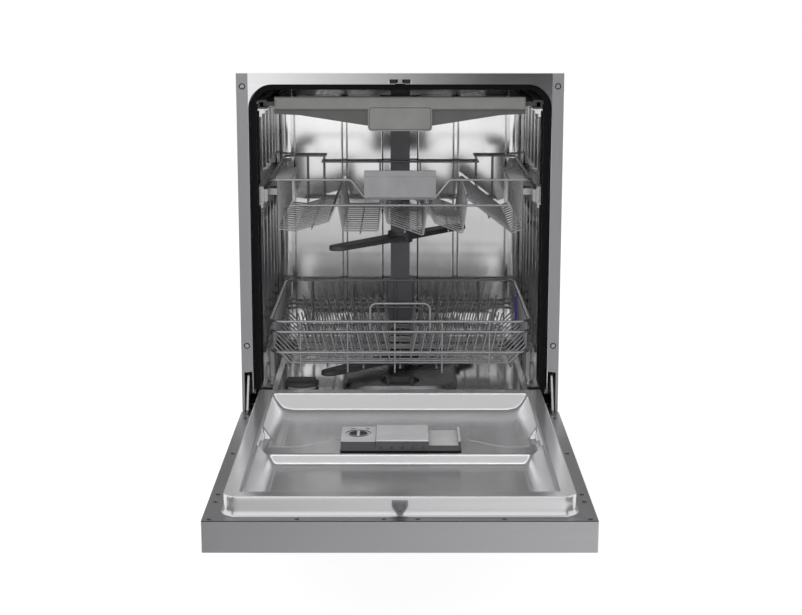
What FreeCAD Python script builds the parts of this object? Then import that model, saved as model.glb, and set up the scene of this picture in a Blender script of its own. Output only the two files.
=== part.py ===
import FreeCAD, Part
import math
import os

V = FreeCAD.Vector

# Millimetres. x to the right, y from the front frame to the back, z up from the floor; the door lies open.

# Overall size
WIDTH = 598.0
HEIGHT = 815.0
CABINET_DEPTH = 520.0
DOOR_DROP = 165.0
SHEET = 1.0
SEAT_GAP = 0.1
RUN_GAP = 0.5
CLEAR_GAP = 0.3
PIN_GAP = 0.05
PAST = 1.0
TINY = 1e-6

# Door
DOOR_THICKNESS = 50.0
DOOR_TAIL = 44.0
DOOR_CLOSED_GAP = 2.0
DOOR_TOP_GAP = 3.0
BORDER_Z = 185.0
HINGE_CHANNEL = 15.0
HINGE_CHANNEL_FRONT = -50.0
HINGE_EYE_ROOM = 1.0
CORNER_ROUND = 3.0

# Door liner
LINER_SIDE = 30.0
LINER_NEAR_BORDER = 23.0
LINER_REAR = 25.0
LINER_RISE = 31.0
LINER_RIM = 27.0
LINER_CORNER = 25.0
LINER_EDGE_ROUND = 6.0
BASIN_REAR = 0.0
BASIN_NEAR_RIM = 25.0
BASIN_SLOPE = 17.0
BASIN_CORNER = 22.0
BRIDGE_RISE = 7.0
BRIDGE_REAR = -274.0
BRIDGE_NEAR = -322.0
REAR_FLOOR_RISE = 1.0
NEAR_FLOOR_DROP = 9.0
STEP_SLOPE = 6.0

# Door front
FASCIA_SIDE = 14.0
FASCIA_HEIGHT = 50.0
FASCIA_EDGE = 8.0
FASCIA_THICKNESS = 3.0
FASCIA_FLANGE = 4.0
FASCIA_CLEARANCE = 0.2
DISPLAY_X = 70.0
DISPLAY_WIDTH = 110.0
DISPLAY_HEIGHT = 28.0
BUTTON_RADIUS = 7.0
BUTTON_CLEARANCE = 0.3
BUTTON_PROUD = 1.0
BUTTON_FLANGE = 9.0
BUTTON_FLANGE_THICKNESS = 1.2
BUTTON_TRAVEL = 1.5
BUTTON_INSET = 35.0
PROGRAM_X = -30.0
BOARD_SIDE = 85.0
BOARD_THICKNESS = 8.0
BOARD_SPARE = 1.0
POST_SIDE = 12.0
POCKET_HALF = 90.0
POCKET_STEP = 14.0
POCKET_HEIGHT = 60.0
POCKET_DEPTH = 23.0
POCKET_WALL = 2.0

# Strike and border screws
STRIKE_HALF = 12.0
STRIKE_PROUD = 5.0
STRIKE_TIP = 4.0
STRIKE_WEB = 1.0
SCREW_HEAD = 3.5
SCREW_HEIGHT = 1.2
SIDE_SCREW_INSET = 12.0
SIDE_SCREW_SHARES = (0.986, 0.858, 0.803, 0.458, 0.106)
NEAR_SCREW_INSET = 10.0
NEAR_SCREW_XS = (-155.0, -24.0, 27.0, 158.0)

# Dispenser
DISPENSER_LEFT = -101.0
DISPENSER_RIGHT = 103.5
DISPENSER_REAR = -223.0
DISPENSER_NEAR = -318.0
DISPENSER_TOP = 212.0
DISPENSER_TRACK = 205.5
DISPENSER_CHEEK = 4.0
DISPENSER_ROUND = 5.0
LID_LEFT = -41.0
LID_TOP = 216.0
LID_OVERHANG = 4.0
LID_FLANGE = 1.8
LID_FLANGE_DROP = 6.0
LID_HOLES = 5
LID_HOLE_SIDE = 6.0
LID_HOLE_MARGIN = 1.0
LID_ROUND = 3.0
LID_TRAVEL = 50.0
CUP_LEFT = -36.0
CUP_RIGHT = 6.0
CUP_MARGIN = 9.0
CUP_FLOOR = 194.0
CAP_X = -72.0
CAP_Y = -265.0
CAP_RADIUS = 17.5
CAP_DISH = 22.5
CAP_DISH_DEPTH = 1.5
CAP_DEPTH = 10.0
CAP_BAR = 5.0
CAP_MOON_DEPTH = 3.0
CAP_MOON_INSET = 1.5

# Cabinet sheets
COVER_DROP = 29.5
STRIP_WIDTH = 21.0
STRIP_NARROW = 5.0
STRIP_NARROW_Z = 257.0
STRIP_STEP = 2.0
STRIP_BOTTOM = 172.0
NOTCH_DEPTH = 75.0
PANEL_BOTTOM = 25.0
PANEL_SHOULDER = 16.0
PANEL_SLOPE = 28.0
FRAME_SIDE = 2.0
FRAME_FLANGE = 22.0
WORKTOP_HOLE = 2.25
WORKTOP_HOLE_INSET = 99.0
WORKTOP_HOLE_Y = 13.0
FRAME_SCREW_INSET = 11.0
FRAME_SCREW_HEAD = 5.6
FRAME_SCREW_LOW = 307.0
FRAME_SCREW_DROP = 23.5

# Mouth, gasket and latch
MOUTH_SIDE = 21.5
MOUTH_DROP = 20.0
MOUTH_CORNER = 44.0
MOUTH_BOTTOM = 216.0
GASKET_WIDTH = 11.0
GASKET_FRONT = 29.6
GASKET_MARGIN = 0.5
SEAL_SIDE = 2.0
SEAL_THICKNESS = 2.6
LATCH_HALF = 19.5
LATCH_MARGIN = 1.0
LATCH_DROP = 2.5
LATCH_REAR = 27.0
LATCH_SLOT_HALF = 8.0
LATCH_SLOT_REAR = 23.0
LATCH_ROOF = 3.5
LATCH_NOTCH = 9.0
HOOK_HALF = 4.0
HOOK_PIVOT_Y = 17.0
HOOK_DROP = 9.0
HOOK_PIN = 2.0
HOOK_HUB = 4.0
HOOK_NECK = 3.0
HOOK_REACH = 11.0
HOOK_CLAW = 6.0

# Tub
TUB_SIDE = 35.0
TUB_FRONT = 38.6
TUB_BACK = 30.0
TUB_FLOOR = 200.0
TUB_DROP = 31.0
TUB_SHEET = 1.2
TUB_CORNER = 30.0
TUB_EDGE = 20.0
TUB_LIP = 12.0
LEDGE_WIDTH = 20.0
LEDGE_TOP = 217.1
TUB_SPLIT_RISE = 0.4
LEDGE_FRONT = 42.0
LEDGE_BACK = 22.0
RECESS_HALF = 121.0
RECESS_FRONT = 62.0
RECESS_BACK = 60.0
RECESS_DEPTH = 3.0
RECESS_CORNER = 24.0
FLUTE_RADIUS = 14.0
FLUTE_PROUD = 4.0
FLUTE_FIRST = 90.0
FLUTE_BACK = 80.0
FLUTE_COUNT = 5
FLUTE_LOW = 275.0
FLUTE_RAIL_BELOW = 61.0
FLUTE_RAIL_ABOVE = 9.0
FLUTE_CEILING_GAP = 56.0
PAD_PROUD = 5.0
PAD_ROUND = 4.5
PAD_DROP = 39.0
PAD_BOTTOM = 240.0
PAD_SIDE = 36.0
PAD_INNER = 36.0
PAD_WIDTH = 80.0
PAD_GAP = 6.0
PAD_CORNER = 8.0

# Base
BASE_SIDE = 29.0
BASE_FRONT = 75.0
BASE_BACK = 20.0
BASE_BOTTOM = 22.0
BASE_WALL = 3.0
KICK_SIDE = 7.0
KICK_FRONT = 62.0
KICK_BOTTOM = 8.0
KICK_TOP = 98.0
KICK_WALL = 2.0
KICK_RETURN_INSET = 30.0
FOOT_INSET = 40.0
FOOT_FRONT = 17.0
FOOT_BACK = 20.0
FOOT_PAD = 20.0
FOOT_PAD_HEIGHT = 8.0
FOOT_NECK = 9.0
FOOT_STUD = 5.0
FOOT_STUD_TOP = 40.0
FOOT_CLEARANCE = 0.2

# Hinges
BRACKET_SIDE = 0.4
BRACKET_THICKNESS = 4.0
BRACKET_EYE = 11.0
BRACKET_REAR = 112.0
BRACKET_FOOT = 30.0
HINGE_PIN = 4.0
HINGE_PIN_TIP = 0.6
HINGE_PIN_HEAD = 4.0
ARM_SIDE = 1.0
ARM_THICKNESS = 3.6
ARM_FRONT = -200.0
ARM_DEPTH = 34.0
HORN_TIP_Y = 22.0
HORN_TIP_Z = 254.0
HORN_WIDTH = 11.0
SPRING_SIDE = 12.0
SPRING_FRONT = 170.0
SPRING_REAR = 360.0
SPRING_Z = 158.0
SPRING_RADIUS = 8.0
SPRING_CORD = 1.5
SPRING_LUG = 8.0
HORN_CORD_GAP = 3.0

# Sump, pumps and softener
SUMP_HALF = 75.0
SUMP_FRONT = 80.0
SUMP_REAR = 330.0
SUMP_BOTTOM = 120.0
SUMP_WALL = 3.0
SUMP_CORNER = 36.0
SUMP_LAND = 5.0
HUB_SETBACK = 0.7
TOWER_RADIUS = 14.0
TOWER_TOP = 219.0
ARM_PIN = 6.0
ARM_PIN_LENGTH = 11.0
FILTER_Y = 124.0
FILTER_RADIUS = 38.0
FILTER_CLEARANCE = 0.4
FILTER_BOTTOM = 131.0
FILTER_TOP = 206.0
FILTER_PIN = 12.0
FILTER_PIN_LENGTH = 12.0
FILTER_GRIP_HALF = 28.0
FILTER_GRIP_DEPTH = 44.0
FILTER_GRIP_TOP = 216.5
FILTER_GRIP_BAR = 8.0
PLATE_HALF = 113.0
PLATE_FRONT = 70.0
PLATE_REAR = 345.0
PLATE_TOP = 209.0
PLATE_CORNER = 60.0
PLATE_BEVEL = 9.0
PLATE_WALL = 1.6
PLATE_RAYS = 13
PLATE_RAY_WIDTH = 2.0
PLATE_RAY_START = 50.0
PLATE_RAY_END = 100.0
PUMP_Y = 230.0
PUMP_Z = 155.0
PUMP_VOLUTE = 34.0
PUMP_VOLUTE_LENGTH = 40.0
PUMP_MOTOR = 30.0
PUMP_LENGTH = 150.0
DRAIN_Y = 285.0
DRAIN_Z = 150.0
DRAIN_RADIUS = 26.0
DRAIN_LENGTH = 80.0
DRAIN_PIPE = 9.5
DRAIN_PIPE_X = -112.0
PORT_BACK = 2.0
PORT_CLEARANCE = 0.5
PORT_SHOULDER = 1.0
SALT_INSET = 71.0
SALT_Y = 115.0
TANK_SIDE = 12.0
TANK_REACH = 71.0
TANK_FRONT = 82.0
TANK_REAR = 235.0
TANK_BOTTOM = 90.0
TANK_TOP = 190.0
NECK_RADIUS = 29.0
NECK_TOP = 203.0
NECK_BORE = 20.0
NECK_BORE_DEPTH = 34.0
NECK_CLEARANCE = 0.5
SALT_HEAD = 33.0
SALT_HEAD_HEIGHT = 8.0
SALT_GRIP = 12.0
SALT_GRIP_HEIGHT = 5.5
SALT_PLUG_LENGTH = 24.0
VALVE_SIDE = 30.0
VALVE_WIDTH = 40.0
VALVE_DEPTH = 55.0
VALVE_BOTTOM = 95.0
VALVE_HEIGHT = 50.0
VALVE_SPIGOT = 13.2

# Water feed duct on the rear wall
DUCT_HALF = 20.5
DUCT_FOOT_HALF = 29.0
DUCT_FOOT_TOP = 340.0
DUCT_THICKNESS = 14.0
DUCT_ROUND = 5.0
DUCT_TOP_RUN = 11.0
DOCK_RADIUS = 17.0
DOCK_LENGTH = 6.0
CEILING_HEAD = 30.0

# Spray arms
LOWER_ARM_Z = 222.0
ARM_TIP_GAP = 6.7
LOWER_ARM_ANGLE = 225.0
UPPER_ARM_DROP = 16.0
UPPER_ARM_LESS = 12.0
UPPER_ARM_ANGLE = 229.0
BLADE_THICKNESS = 9.0
BLADE_ROOT = 46.0
BLADE_TIP = 34.0
BLADE_ROUND = 3.0
ARM_HUB = 25.0
ARM_HUB_RISE = 5.0
NOZZLE_RADIUS = 2.2
NOZZLE_DEPTH = 3.0
NOZZLES = 5
NOZZLE_START = 1.3

# Lower rack
RACK_SIDE = 17.0
RACK_FRONT = 34.6
RACK_BACK = 20.0
RACK_CORNER = 30.0
RACK_RIM_WIRE = 5.0
RACK_WIRE = 3.6
WELD = 0.05
RACK_FRONT_ZS = (346.0, 326.0, 286.0)
RACK_REAR_ZS = (346.0, 296.0, 286.0)
RACK_FLOOR_Z = 258.0
RACK_CHAMFER = 32.0
RACK_REAR_BAY = 49.8
RACK_SIDE_COUNT = 12
RACK_RIB_FOOT = 8.0
RACK_POST_INSET = 57.0
RACK_POST_PITCH = 90.0
RACK_POST_COUNT = 5
RACK_POST_BOTTOM = 246.0
RACK_LONG_INSET = 35.0
RACK_LONG_PITCH = 70.0
RACK_LONG_COUNT = 2
RACK_HANDLE_HALF = 57.0
RACK_HANDLE_TOP = 380.0
RACK_HANDLE_BEND = 12.0
TINE_WIRE = 3.2
TINE_ROD = 4.0
TINE_HEIGHT = 66.0
TINE_LEAN = 15.0
TINE_PITCH = 17.0
TINE_FIRST = 20.0
TINE_COUNT = 11
TINE_ROW_STEP = 2
TINE_FIXED_ROWS = (0, 2, 4, 5)
TINE_FOLD_FRONT = 1
TINE_FOLD_REAR = 3
TINE_FOLD_HEIGHT = 54.0
WHEEL_RADIUS = 18.0
WHEEL_WIDTH = 7.0
WHEEL_OFFSET = 5.0
WHEEL_Z = 236.0
WHEEL_FRONT = 57.4
WHEEL_BACK = 58.0
WHEEL_ROUND = 2.0
WHEEL_DISH = 11.0
WHEEL_DISH_DEPTH = 2.5
AXLE_RADIUS = 4.0
HANGER_INSIDE = 3.5
HANGER_OUTSIDE = 4.0
HANGER_HALF = 15.0
HANGER_BOTTOM = 229.0
CLIP_Y = 300.0
CLIP_HALF = 9.0
CLIP_THICKNESS = 5.0
CLIP_ROUND = 1.6
CLIP_BOTTOM = 292.0

# Upper rack
UPPER_SIDE = 34.0
UPPER_FRONT = 36.0
UPPER_BACK = 22.0
UPPER_DROP = 168.0
UPPER_RIM_WIRE = 4.5
UPPER_WIRE = 3.0
UPPER_CORNER = 20.0
UPPER_HOOK = 15.0
UPPER_BEND = 3.2
UPPER_REAR_BAY = 29.0
UPPER_COUNT = 14
UPPER_PROFILE = ((-230.0, 96.0), (-199.0, 99.0), (-135.0, 81.0), (-118.0, 42.0), (-108.0, 99.0),
                 (-42.0, 99.0), (-34.0, 42.0), (-24.0, 84.0), (44.0, 108.0), (51.0, 56.0),
                 (66.0, 84.0), (118.0, 104.0), (127.0, 38.0), (212.0, 103.0), (230.0, 96.0))
UPPER_KEEL_BAYS = (1, 4, 7, 10, 12)
UPPER_CUT_BAYS = (1, 4, 7, 10)
UPPER_FOOT = 6.0
UPPER_DIP_TOP = 92.0
UPPER_DIP_HALF = 64.0
UPPER_DIP = 35.0
UPPER_DIP_BEND = 8.0
UPPER_SECOND_DROP = 48.0
UPPER_SECOND_INSET = 25.0
UPPER_POST_INSET = 29.0
UPPER_REAR_DROP = 13.0
UPPER_REAR_LOW_HALF = 157.0
UPPER_REAR_POST_XS = (43.0, 113.0)
UPPER_REAR_LAP = 11.0
UPPER_REAR_POST_STEP = 35.0
UPPER_REAR_SECOND_DROP = 90.0
UPPER_REAR_FOOT = 12.0
GRIP_HALF = 67.0
GRIP_RISE = 17.5
GRIP_THICKNESS = 9.0
GRIP_ROUND = 0.8
GRIP_CORNER = 1.8
FEED_HALF = 14.0
FEED_HEIGHT = 16.0
FEED_DROP = 114.0
FEED_ROUND = 5.0
FEED_HANGER_HEIGHT = 18.8
FEED_HANGER_HALF = 3.0
FEED_HANGER_FRONT = 42.0
FEED_HANGER_BACK = 70.0
FEED_HANGER_LENGTH = 30.0
SHELF_WIDTH = 33.0
SHELF_ROD = 3.5
SHELF_WIRE = 2.6
SHELF_FRONT = 46.0
SHELF_LENGTH = 206.0
SHELF_SLATS = 12
SHELF_GAP = 0.5
SHELF_OUTSET = 6.0

# Upper rack rails
RAIL_HEIGHT = 32.0
RAIL_DROP = 14.0
RAIL_PLATE = 2.4
RAIL_LIP = 8.0
RAIL_FRONT = 46.0
RAIL_CORNER_GAP = 4.0
RAIL_STAGE = 6.0
RAIL_INNER_INSET = 5.0
RAIL_ARM_FRONT = 54.0
RAIL_ARM_BACK = 76.0
RAIL_ARM_LENGTH = 40.0
RAIL_ARM_INSET = 5.0

# Cutlery tray
TRAY_SIDE = 31.0
TRAY_FRONT = 36.0
TRAY_BACK = 22.0
TRAY_BAR_DEPTH = 12.0
TRAY_BAR_HEIGHT = 24.0
TRAY_DROP = 14.0
TRAY_ROUND = 4.0
TRAY_WALL = 3.0
TRAY_SKIN = 2.5
TRAY_FLOOR_DROP = 7.5
TRAY_EDGE_RISE = 2.0
TRAY_SHOULDER_INSET = 46.0
TRAY_VALLEY_X = 58.0
TRAY_VALLEY_DEPTH = 20.0
TRAY_WALL_DROP = 6.0
TRAY_HANDLE_HALF = 59.5
TRAY_HANDLE_HEIGHT = 63.0
TRAY_HANDLE_THICKNESS = 6.0
TRAY_HANDLE_CORNER = 7.0
TRAY_SLOT_LENGTH = 70.0
TRAY_SLOT_WIDTH = 8.0
TRAY_SLOT_PITCH = 14.0
TRAY_SLOT_ROWS = 5
TRAY_SLOT_COLUMNS = 14
TRAY_RIB_XS = (-122.0, -58.0, 58.0, 122.0)
TRAY_RIB_HEIGHT = 14.0
SHOE_WALL_GAP = 9.0
SHOE_RISE = 5.0
SHOE_HEIGHT = 8.0
SHOE_FRONT = 62.0
SHOE_BACK = 16.0
TRAY_RAIL_REACH = 17.0
TRAY_RAIL_PLATE = 3.0
TRAY_RAIL_LIP = 3.5

# Main places worked out from the sizes above
DOOR_REACH = HEIGHT - DOOR_DROP
HALF = WIDTH / 2
Y_SHIFT = (DOOR_REACH - CABINET_DEPTH) / 2
PIVOT_Y = (HEIGHT - DOOR_TOP_GAP - DOOR_REACH - BORDER_Z - DOOR_CLOSED_GAP) / 2
PIVOT_Z = BORDER_Z + DOOR_CLOSED_GAP + PIVOT_Y
DOOR_BOTTOM = BORDER_Z - DOOR_THICKNESS
SKIN_TOP = DOOR_BOTTOM + SHEET
PAN_TOP = BORDER_Z - SHEET
LINER_TOP = BORDER_Z + LINER_RISE
BRIDGE_Z = BORDER_Z + BRIDGE_RISE
CHANNEL_X = HALF - HINGE_CHANNEL

# Door sizes worked out
LINER_HALF = HALF - LINER_SIDE
LINER_NEAR = -DOOR_REACH + LINER_NEAR_BORDER
BASIN_NEAR = LINER_NEAR + BASIN_NEAR_RIM
FASCIA_HALF = HALF - FASCIA_SIDE
FASCIA_TOP = -DOOR_REACH + FASCIA_EDGE
FASCIA_LOW = FASCIA_TOP + FASCIA_HEIGHT
POWER_X = -FASCIA_HALF + BUTTON_INSET
START_X = FASCIA_HALF - BUTTON_INSET
BOARD_HALF = FASCIA_HALF - BOARD_SIDE
POCKET_TOP = FASCIA_LOW + POCKET_STEP
POCKET_LOW = POCKET_TOP + POCKET_HEIGHT
SIDE_SCREW_X = HALF - SIDE_SCREW_INSET
SIDE_SCREW_YS = [-DOOR_REACH * share for share in SIDE_SCREW_SHARES]
NEAR_SCREW_Y = -DOOR_REACH + NEAR_SCREW_INSET
LID_RIGHT = DISPENSER_RIGHT - DISPENSER_CHEEK - RUN_GAP - LID_TRAVEL

# Cabinet sizes worked out
COVER_Z = HEIGHT - COVER_DROP
FRAME_HALF = HALF - FRAME_SIDE
WORKTOP_HOLE_X = HALF - WORKTOP_HOLE_INSET
FRAME_SCREW_X = HALF - FRAME_SCREW_INSET
FRAME_SCREW_ZS = (FRAME_SCREW_LOW, HEIGHT - FRAME_SCREW_DROP)
MOUTH_HALF = HALF - MOUTH_SIDE
MOUTH_TOP = HEIGHT - MOUTH_DROP
LATCH_TOP = HEIGHT - LATCH_DROP
LATCH_SLOT_TOP = LATCH_TOP - LATCH_ROOF
LATCH_NOTCH_TOP = MOUTH_TOP + LATCH_NOTCH
HOOK_PIVOT_Z = LATCH_TOP - HOOK_DROP
TUB_HALF = HALF - TUB_SIDE
TUB_REAR = CABINET_DEPTH - TUB_BACK
TUB_CEILING = HEIGHT - TUB_DROP
TUB_UNDER = TUB_FLOOR - TUB_SHEET
TUB_SPLIT = LEDGE_TOP + TUB_SPLIT_RISE
TUB_EAVES = TUB_CEILING - TUB_EDGE - TUB_SPLIT_RISE
TUB_BEND_X = TUB_HALF - TUB_CORNER - TUB_SPLIT_RISE
TUB_BEND_Y = TUB_REAR - TUB_CORNER - TUB_SPLIT_RISE
SEAL_HALF = TUB_HALF - SEAL_SIDE
LEDGE_INNER = TUB_HALF - LEDGE_WIDTH
LEDGE_REAR = TUB_REAR - LEDGE_BACK
RECESS_REAR = TUB_REAR - RECESS_BACK
RECESS_UNDER = TUB_UNDER - RECESS_DEPTH
FLUTE_PITCH = (TUB_REAR - FLUTE_BACK - FLUTE_FIRST) / (FLUTE_COUNT - 1)
UPPER_TOP = TUB_CEILING - UPPER_DROP
FLUTE_SPANS = ((FLUTE_LOW, UPPER_TOP - FLUTE_RAIL_BELOW),
               (UPPER_TOP + FLUTE_RAIL_ABOVE, TUB_CEILING - FLUTE_CEILING_GAP))
PAD_TOP = TUB_CEILING - PAD_DROP
PAD_SPLIT = PAD_INNER + PAD_WIDTH
PAD_SPANS = ((PAD_INNER, PAD_SPLIT), (PAD_SPLIT + PAD_GAP, TUB_HALF - PAD_SIDE))
BASE_HALF = HALF - BASE_SIDE
BASE_REAR = CABINET_DEPTH - BASE_BACK
PORT_END = CABINET_DEPTH - PORT_BACK
KICK_HALF = HALF - KICK_SIDE
KICK_RETURN_HALF = BASE_HALF - KICK_RETURN_INSET
FOOT_X = BASE_HALF - FOOT_INSET
FOOT_YS = (BASE_FRONT + FOOT_FRONT, BASE_REAR - FOOT_BACK)
ARM_INNER = CHANNEL_X + ARM_SIDE
BRACKET_INNER = ARM_INNER + ARM_THICKNESS + BRACKET_SIDE
HINGE_PIN_INNER = ARM_INNER - HINGE_PIN_TIP
HINGE_PIN_OUTER = BRACKET_INNER + BRACKET_THICKNESS + HINGE_PIN_HEAD
SPRING_X = HALF - SPRING_SIDE
HUB_Y = (TUB_FRONT + TUB_REAR - DUCT_THICKNESS) / 2 + HUB_SETBACK
SALT_X = -TUB_HALF + SALT_INSET
TANK_LEFT = -BASE_HALF + TANK_SIDE
TANK_RIGHT = SALT_X + TANK_REACH
VALVE_LEFT = -BASE_HALF + VALVE_SIDE
LOWER_ARM_HALF = (TUB_REAR - DUCT_THICKNESS - TUB_FRONT) / 2 - ARM_TIP_GAP
UPPER_ARM_HALF = LOWER_ARM_HALF - UPPER_ARM_LESS

# Rack sizes worked out
RACK_HALF = TUB_HALF - RACK_SIDE
RACK_REAR = TUB_REAR - RACK_BACK
RACK_FIRST_RIB = RACK_FRONT + RACK_CORNER + RACK_WIRE
RACK_KEEL_Z = RACK_FLOOR_Z - RACK_WIRE - WELD
RACK_SIDE_PITCH = (RACK_REAR - RACK_REAR_BAY - RACK_FIRST_RIB) / (RACK_SIDE_COUNT - 1)
RACK_POST_START = -RACK_HALF + RACK_POST_INSET
RACK_LONG_XS = [number * RACK_LONG_PITCH for number in range(1, RACK_LONG_COUNT + 1)]
RACK_LONG_XS.append(RACK_HALF - RACK_LONG_INSET)
WHEEL_INNER = RACK_HALF + WHEEL_OFFSET
HANGER_INNER = RACK_HALF - HANGER_INSIDE
HANGER_OUTER = RACK_HALF + HANGER_OUTSIDE
WHEEL_YS = (RACK_FRONT + WHEEL_FRONT, RACK_REAR - WHEEL_BACK)
UPPER_HALF = TUB_HALF - UPPER_SIDE
UPPER_REAR = TUB_REAR - UPPER_BACK
UPPER_FIRST = UPPER_FRONT + UPPER_CORNER + UPPER_WIRE
UPPER_PITCH = (UPPER_REAR - UPPER_REAR_BAY - UPPER_FIRST) / (UPPER_COUNT - 1)
UPPER_RIM_X = UPPER_HALF + UPPER_HOOK
UPPER_HOOK_Z = UPPER_TOP - (UPPER_RIM_WIRE + UPPER_WIRE) / 2 - WELD
UPPER_SPREAD = UPPER_HALF / UPPER_PROFILE[-1][0]
UPPER_FLOOR = [(x * UPPER_SPREAD, UPPER_TOP - drop) for x, drop in UPPER_PROFILE]
UPPER_DIP_Z = UPPER_TOP - UPPER_DIP
UPPER_SECOND_Z = UPPER_TOP - UPPER_SECOND_DROP
UPPER_SECOND_HALF = UPPER_HALF - UPPER_SECOND_INSET
UPPER_POST_X = UPPER_HALF - UPPER_POST_INSET
UPPER_REAR_SECOND_Z = UPPER_TOP - UPPER_REAR_SECOND_DROP
UPPER_REAR_POST_Z = UPPER_REAR_SECOND_Z - UPPER_REAR_FOOT
UPPER_REAR_LOW = UPPER_TOP - UPPER_REAR_DROP
GRIP_TOP = UPPER_TOP + GRIP_RISE
FEED_TOP = UPPER_TOP - FEED_DROP
FEED_BOTTOM = FEED_TOP - FEED_HEIGHT
FEED_HANGER_TOP = FEED_TOP + FEED_HANGER_HEIGHT
FEED_HANGER_YS = (HUB_Y + FEED_HANGER_FRONT, TUB_REAR - FEED_HANGER_BACK)
UPPER_ARM_Z = FEED_BOTTOM - UPPER_ARM_DROP
SHELF_Z = UPPER_HOOK_Z + (UPPER_WIRE + SHELF_ROD) / 2 + SHELF_GAP

# Rail and tray sizes worked out
RAIL_REAR = TUB_REAR - TUB_CORNER - RAIL_CORNER_GAP
RAIL_HIGH = UPPER_TOP - RAIL_DROP
RAIL_LOW = RAIL_HIGH - RAIL_HEIGHT
RAIL_INNER_LOW = RAIL_LOW + RAIL_INNER_INSET
RAIL_INNER_HIGH = RAIL_HIGH - RAIL_INNER_INSET
RAIL_ARM_LOW = RAIL_INNER_LOW + RAIL_ARM_INSET
RAIL_ARM_HIGH = RAIL_INNER_HIGH - RAIL_ARM_INSET
RAIL_ARM_YS = (RAIL_FRONT + RAIL_ARM_FRONT, RAIL_REAR - RAIL_ARM_BACK)
TRAY_HALF = TUB_HALF - TRAY_SIDE
TRAY_REAR = TUB_REAR - TRAY_BACK
TRAY_BAR_TOP = TUB_CEILING - TRAY_DROP
TRAY_BAR_LOW = TRAY_BAR_TOP - TRAY_BAR_HEIGHT
TRAY_SHOULDER_Z = TRAY_BAR_LOW - TRAY_FLOOR_DROP
TRAY_EDGE_Z = TRAY_SHOULDER_Z + TRAY_EDGE_RISE
TRAY_SHOULDER_X = TRAY_HALF - TRAY_SHOULDER_INSET
TRAY_VALLEY_Z = TRAY_SHOULDER_Z - TRAY_VALLEY_DEPTH
TRAY_WALL_TOP = TRAY_BAR_TOP - TRAY_WALL_DROP
TRAY_HANDLE_LOW = TRAY_BAR_TOP - TRAY_HANDLE_HEIGHT
SHOE_OUTER = TUB_HALF - SHOE_WALL_GAP
SHOE_LOW = TRAY_BAR_LOW + SHOE_RISE
SHOE_HIGH = SHOE_LOW + SHOE_HEIGHT
SHOE_REAR = RAIL_REAR - SHOE_BACK
TRAY_RAIL_INNER = TUB_HALF - TRAY_RAIL_REACH
BIG = 1000.0


# Plain shapes

def block(x0, x1, y0, y1, z0, z1):
    return Part.makeBox(x1 - x0, y1 - y0, z1 - z0, V(x0, y0, z0))


def mirrored(shape):
    return shape.mirror(V(0, 0, 0), V(1, 0, 0))


def both_sides(shape):
    return [shape, mirrored(shape)]


def moved(shape, x=0.0, y=0.0, z=0.0):
    copy = shape.copy()
    copy.translate(V(x, y, z))
    return copy


def rod(start, end, diameter):
    axis = end - start
    return Part.makeCylinder(diameter / 2, axis.Length, start, axis)


def round_rod_x(x0, x1, y, z, radius):
    return Part.makeCylinder(radius, x1 - x0, V(x0, y, z), V(1, 0, 0))


def round_rod_y(x, y0, y1, z, radius):
    return Part.makeCylinder(radius, y1 - y0, V(x, y0, z), V(0, 1, 0))


def round_rod_z(x, y, z0, z1, radius):
    return Part.makeCylinder(radius, z1 - z0, V(x, y, z0))


def bent_rod(points, diameter, bend):
    edges = []
    last = points[0]
    for before, corner, after in zip(points, points[1:], points[2:]):
        back = (before - corner).normalize()
        ahead = (after - corner).normalize()
        half_angle = back.getAngle(ahead) / 2
        run = bend / math.tan(half_angle)
        start = corner + back * run
        end = corner + ahead * run
        middle = corner + (back + ahead).normalize() * (bend / math.sin(half_angle) - bend)
        edges.append(Part.makeLine(last, start))
        edges.append(Part.Arc(start, middle, end).toShape())
        last = end
    edges.append(Part.makeLine(last, points[-1]))
    ring = Part.Wire(Part.makeCircle(diameter / 2, points[0], points[1] - points[0]))
    return Part.Wire(edges).makePipeShell([ring], True, False)


def plate_yz(points, x0, x1):
    corners = [V(x0, y, z) for y, z in points]
    return Part.Face(Part.makePolygon(corners + corners[:1])).extrude(V(x1 - x0, 0, 0))


def plate_xz(points, y0, y1):
    corners = [V(x, y0, z) for x, z in points]
    return Part.Face(Part.makePolygon(corners + corners[:1])).extrude(V(0, y1 - y0, 0))


def arch(half, bottom, top, radius, y0, y1):
    slab = block(-half, half, y0, y1, bottom, top)
    upper = [e for e in edges_along(slab, V(0, 1, 0)) if e.CenterOfMass.z > (bottom + top) / 2]
    return slab.makeFillet(radius, upper)


def edges_along(shape, axis):
    found = []
    for edge in shape.Edges:
        if edge.Curve.TypeId == "Part::GeomLine":
            if edge.Curve.Direction.cross(axis).Length < TINY:
                found.append(edge)
    return found


def rounded_slab(x0, x1, y0, y1, z0, z1, radius):
    slab = block(x0, x1, y0, y1, z0, z1)
    return slab.makeFillet(radius, edges_along(slab, V(0, 0, 1)))


def rounded_front(x0, x1, y0, y1, z0, z1, radius):
    slab = block(x0, x1, y0, y1, z0, z1)
    return slab.makeFillet(radius, edges_along(slab, V(0, 1, 0)))


def face_edges(shape, direction):
    best = max(shape.Faces, key=lambda face: face.CenterOfMass.dot(direction))
    return best.Edges


def outline(half, y0, y1, z, radius):
    slab = rounded_slab(-half, half, y0, y1, z, z + PAST, radius)
    bottom = min(slab.Faces, key=lambda face: face.CenterOfMass.z)
    return bottom.OuterWire


def frustum(low, high):
    return Part.makeLoft([outline(*low), outline(*high)], True, True)


def save(name, *solids):
    shape = solids[0] if len(solids) == 1 else Part.makeCompound(list(solids))
    moved(shape, y=Y_SHIFT).exportStep("parts/" + name + ".step")


# Cabinet

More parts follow.
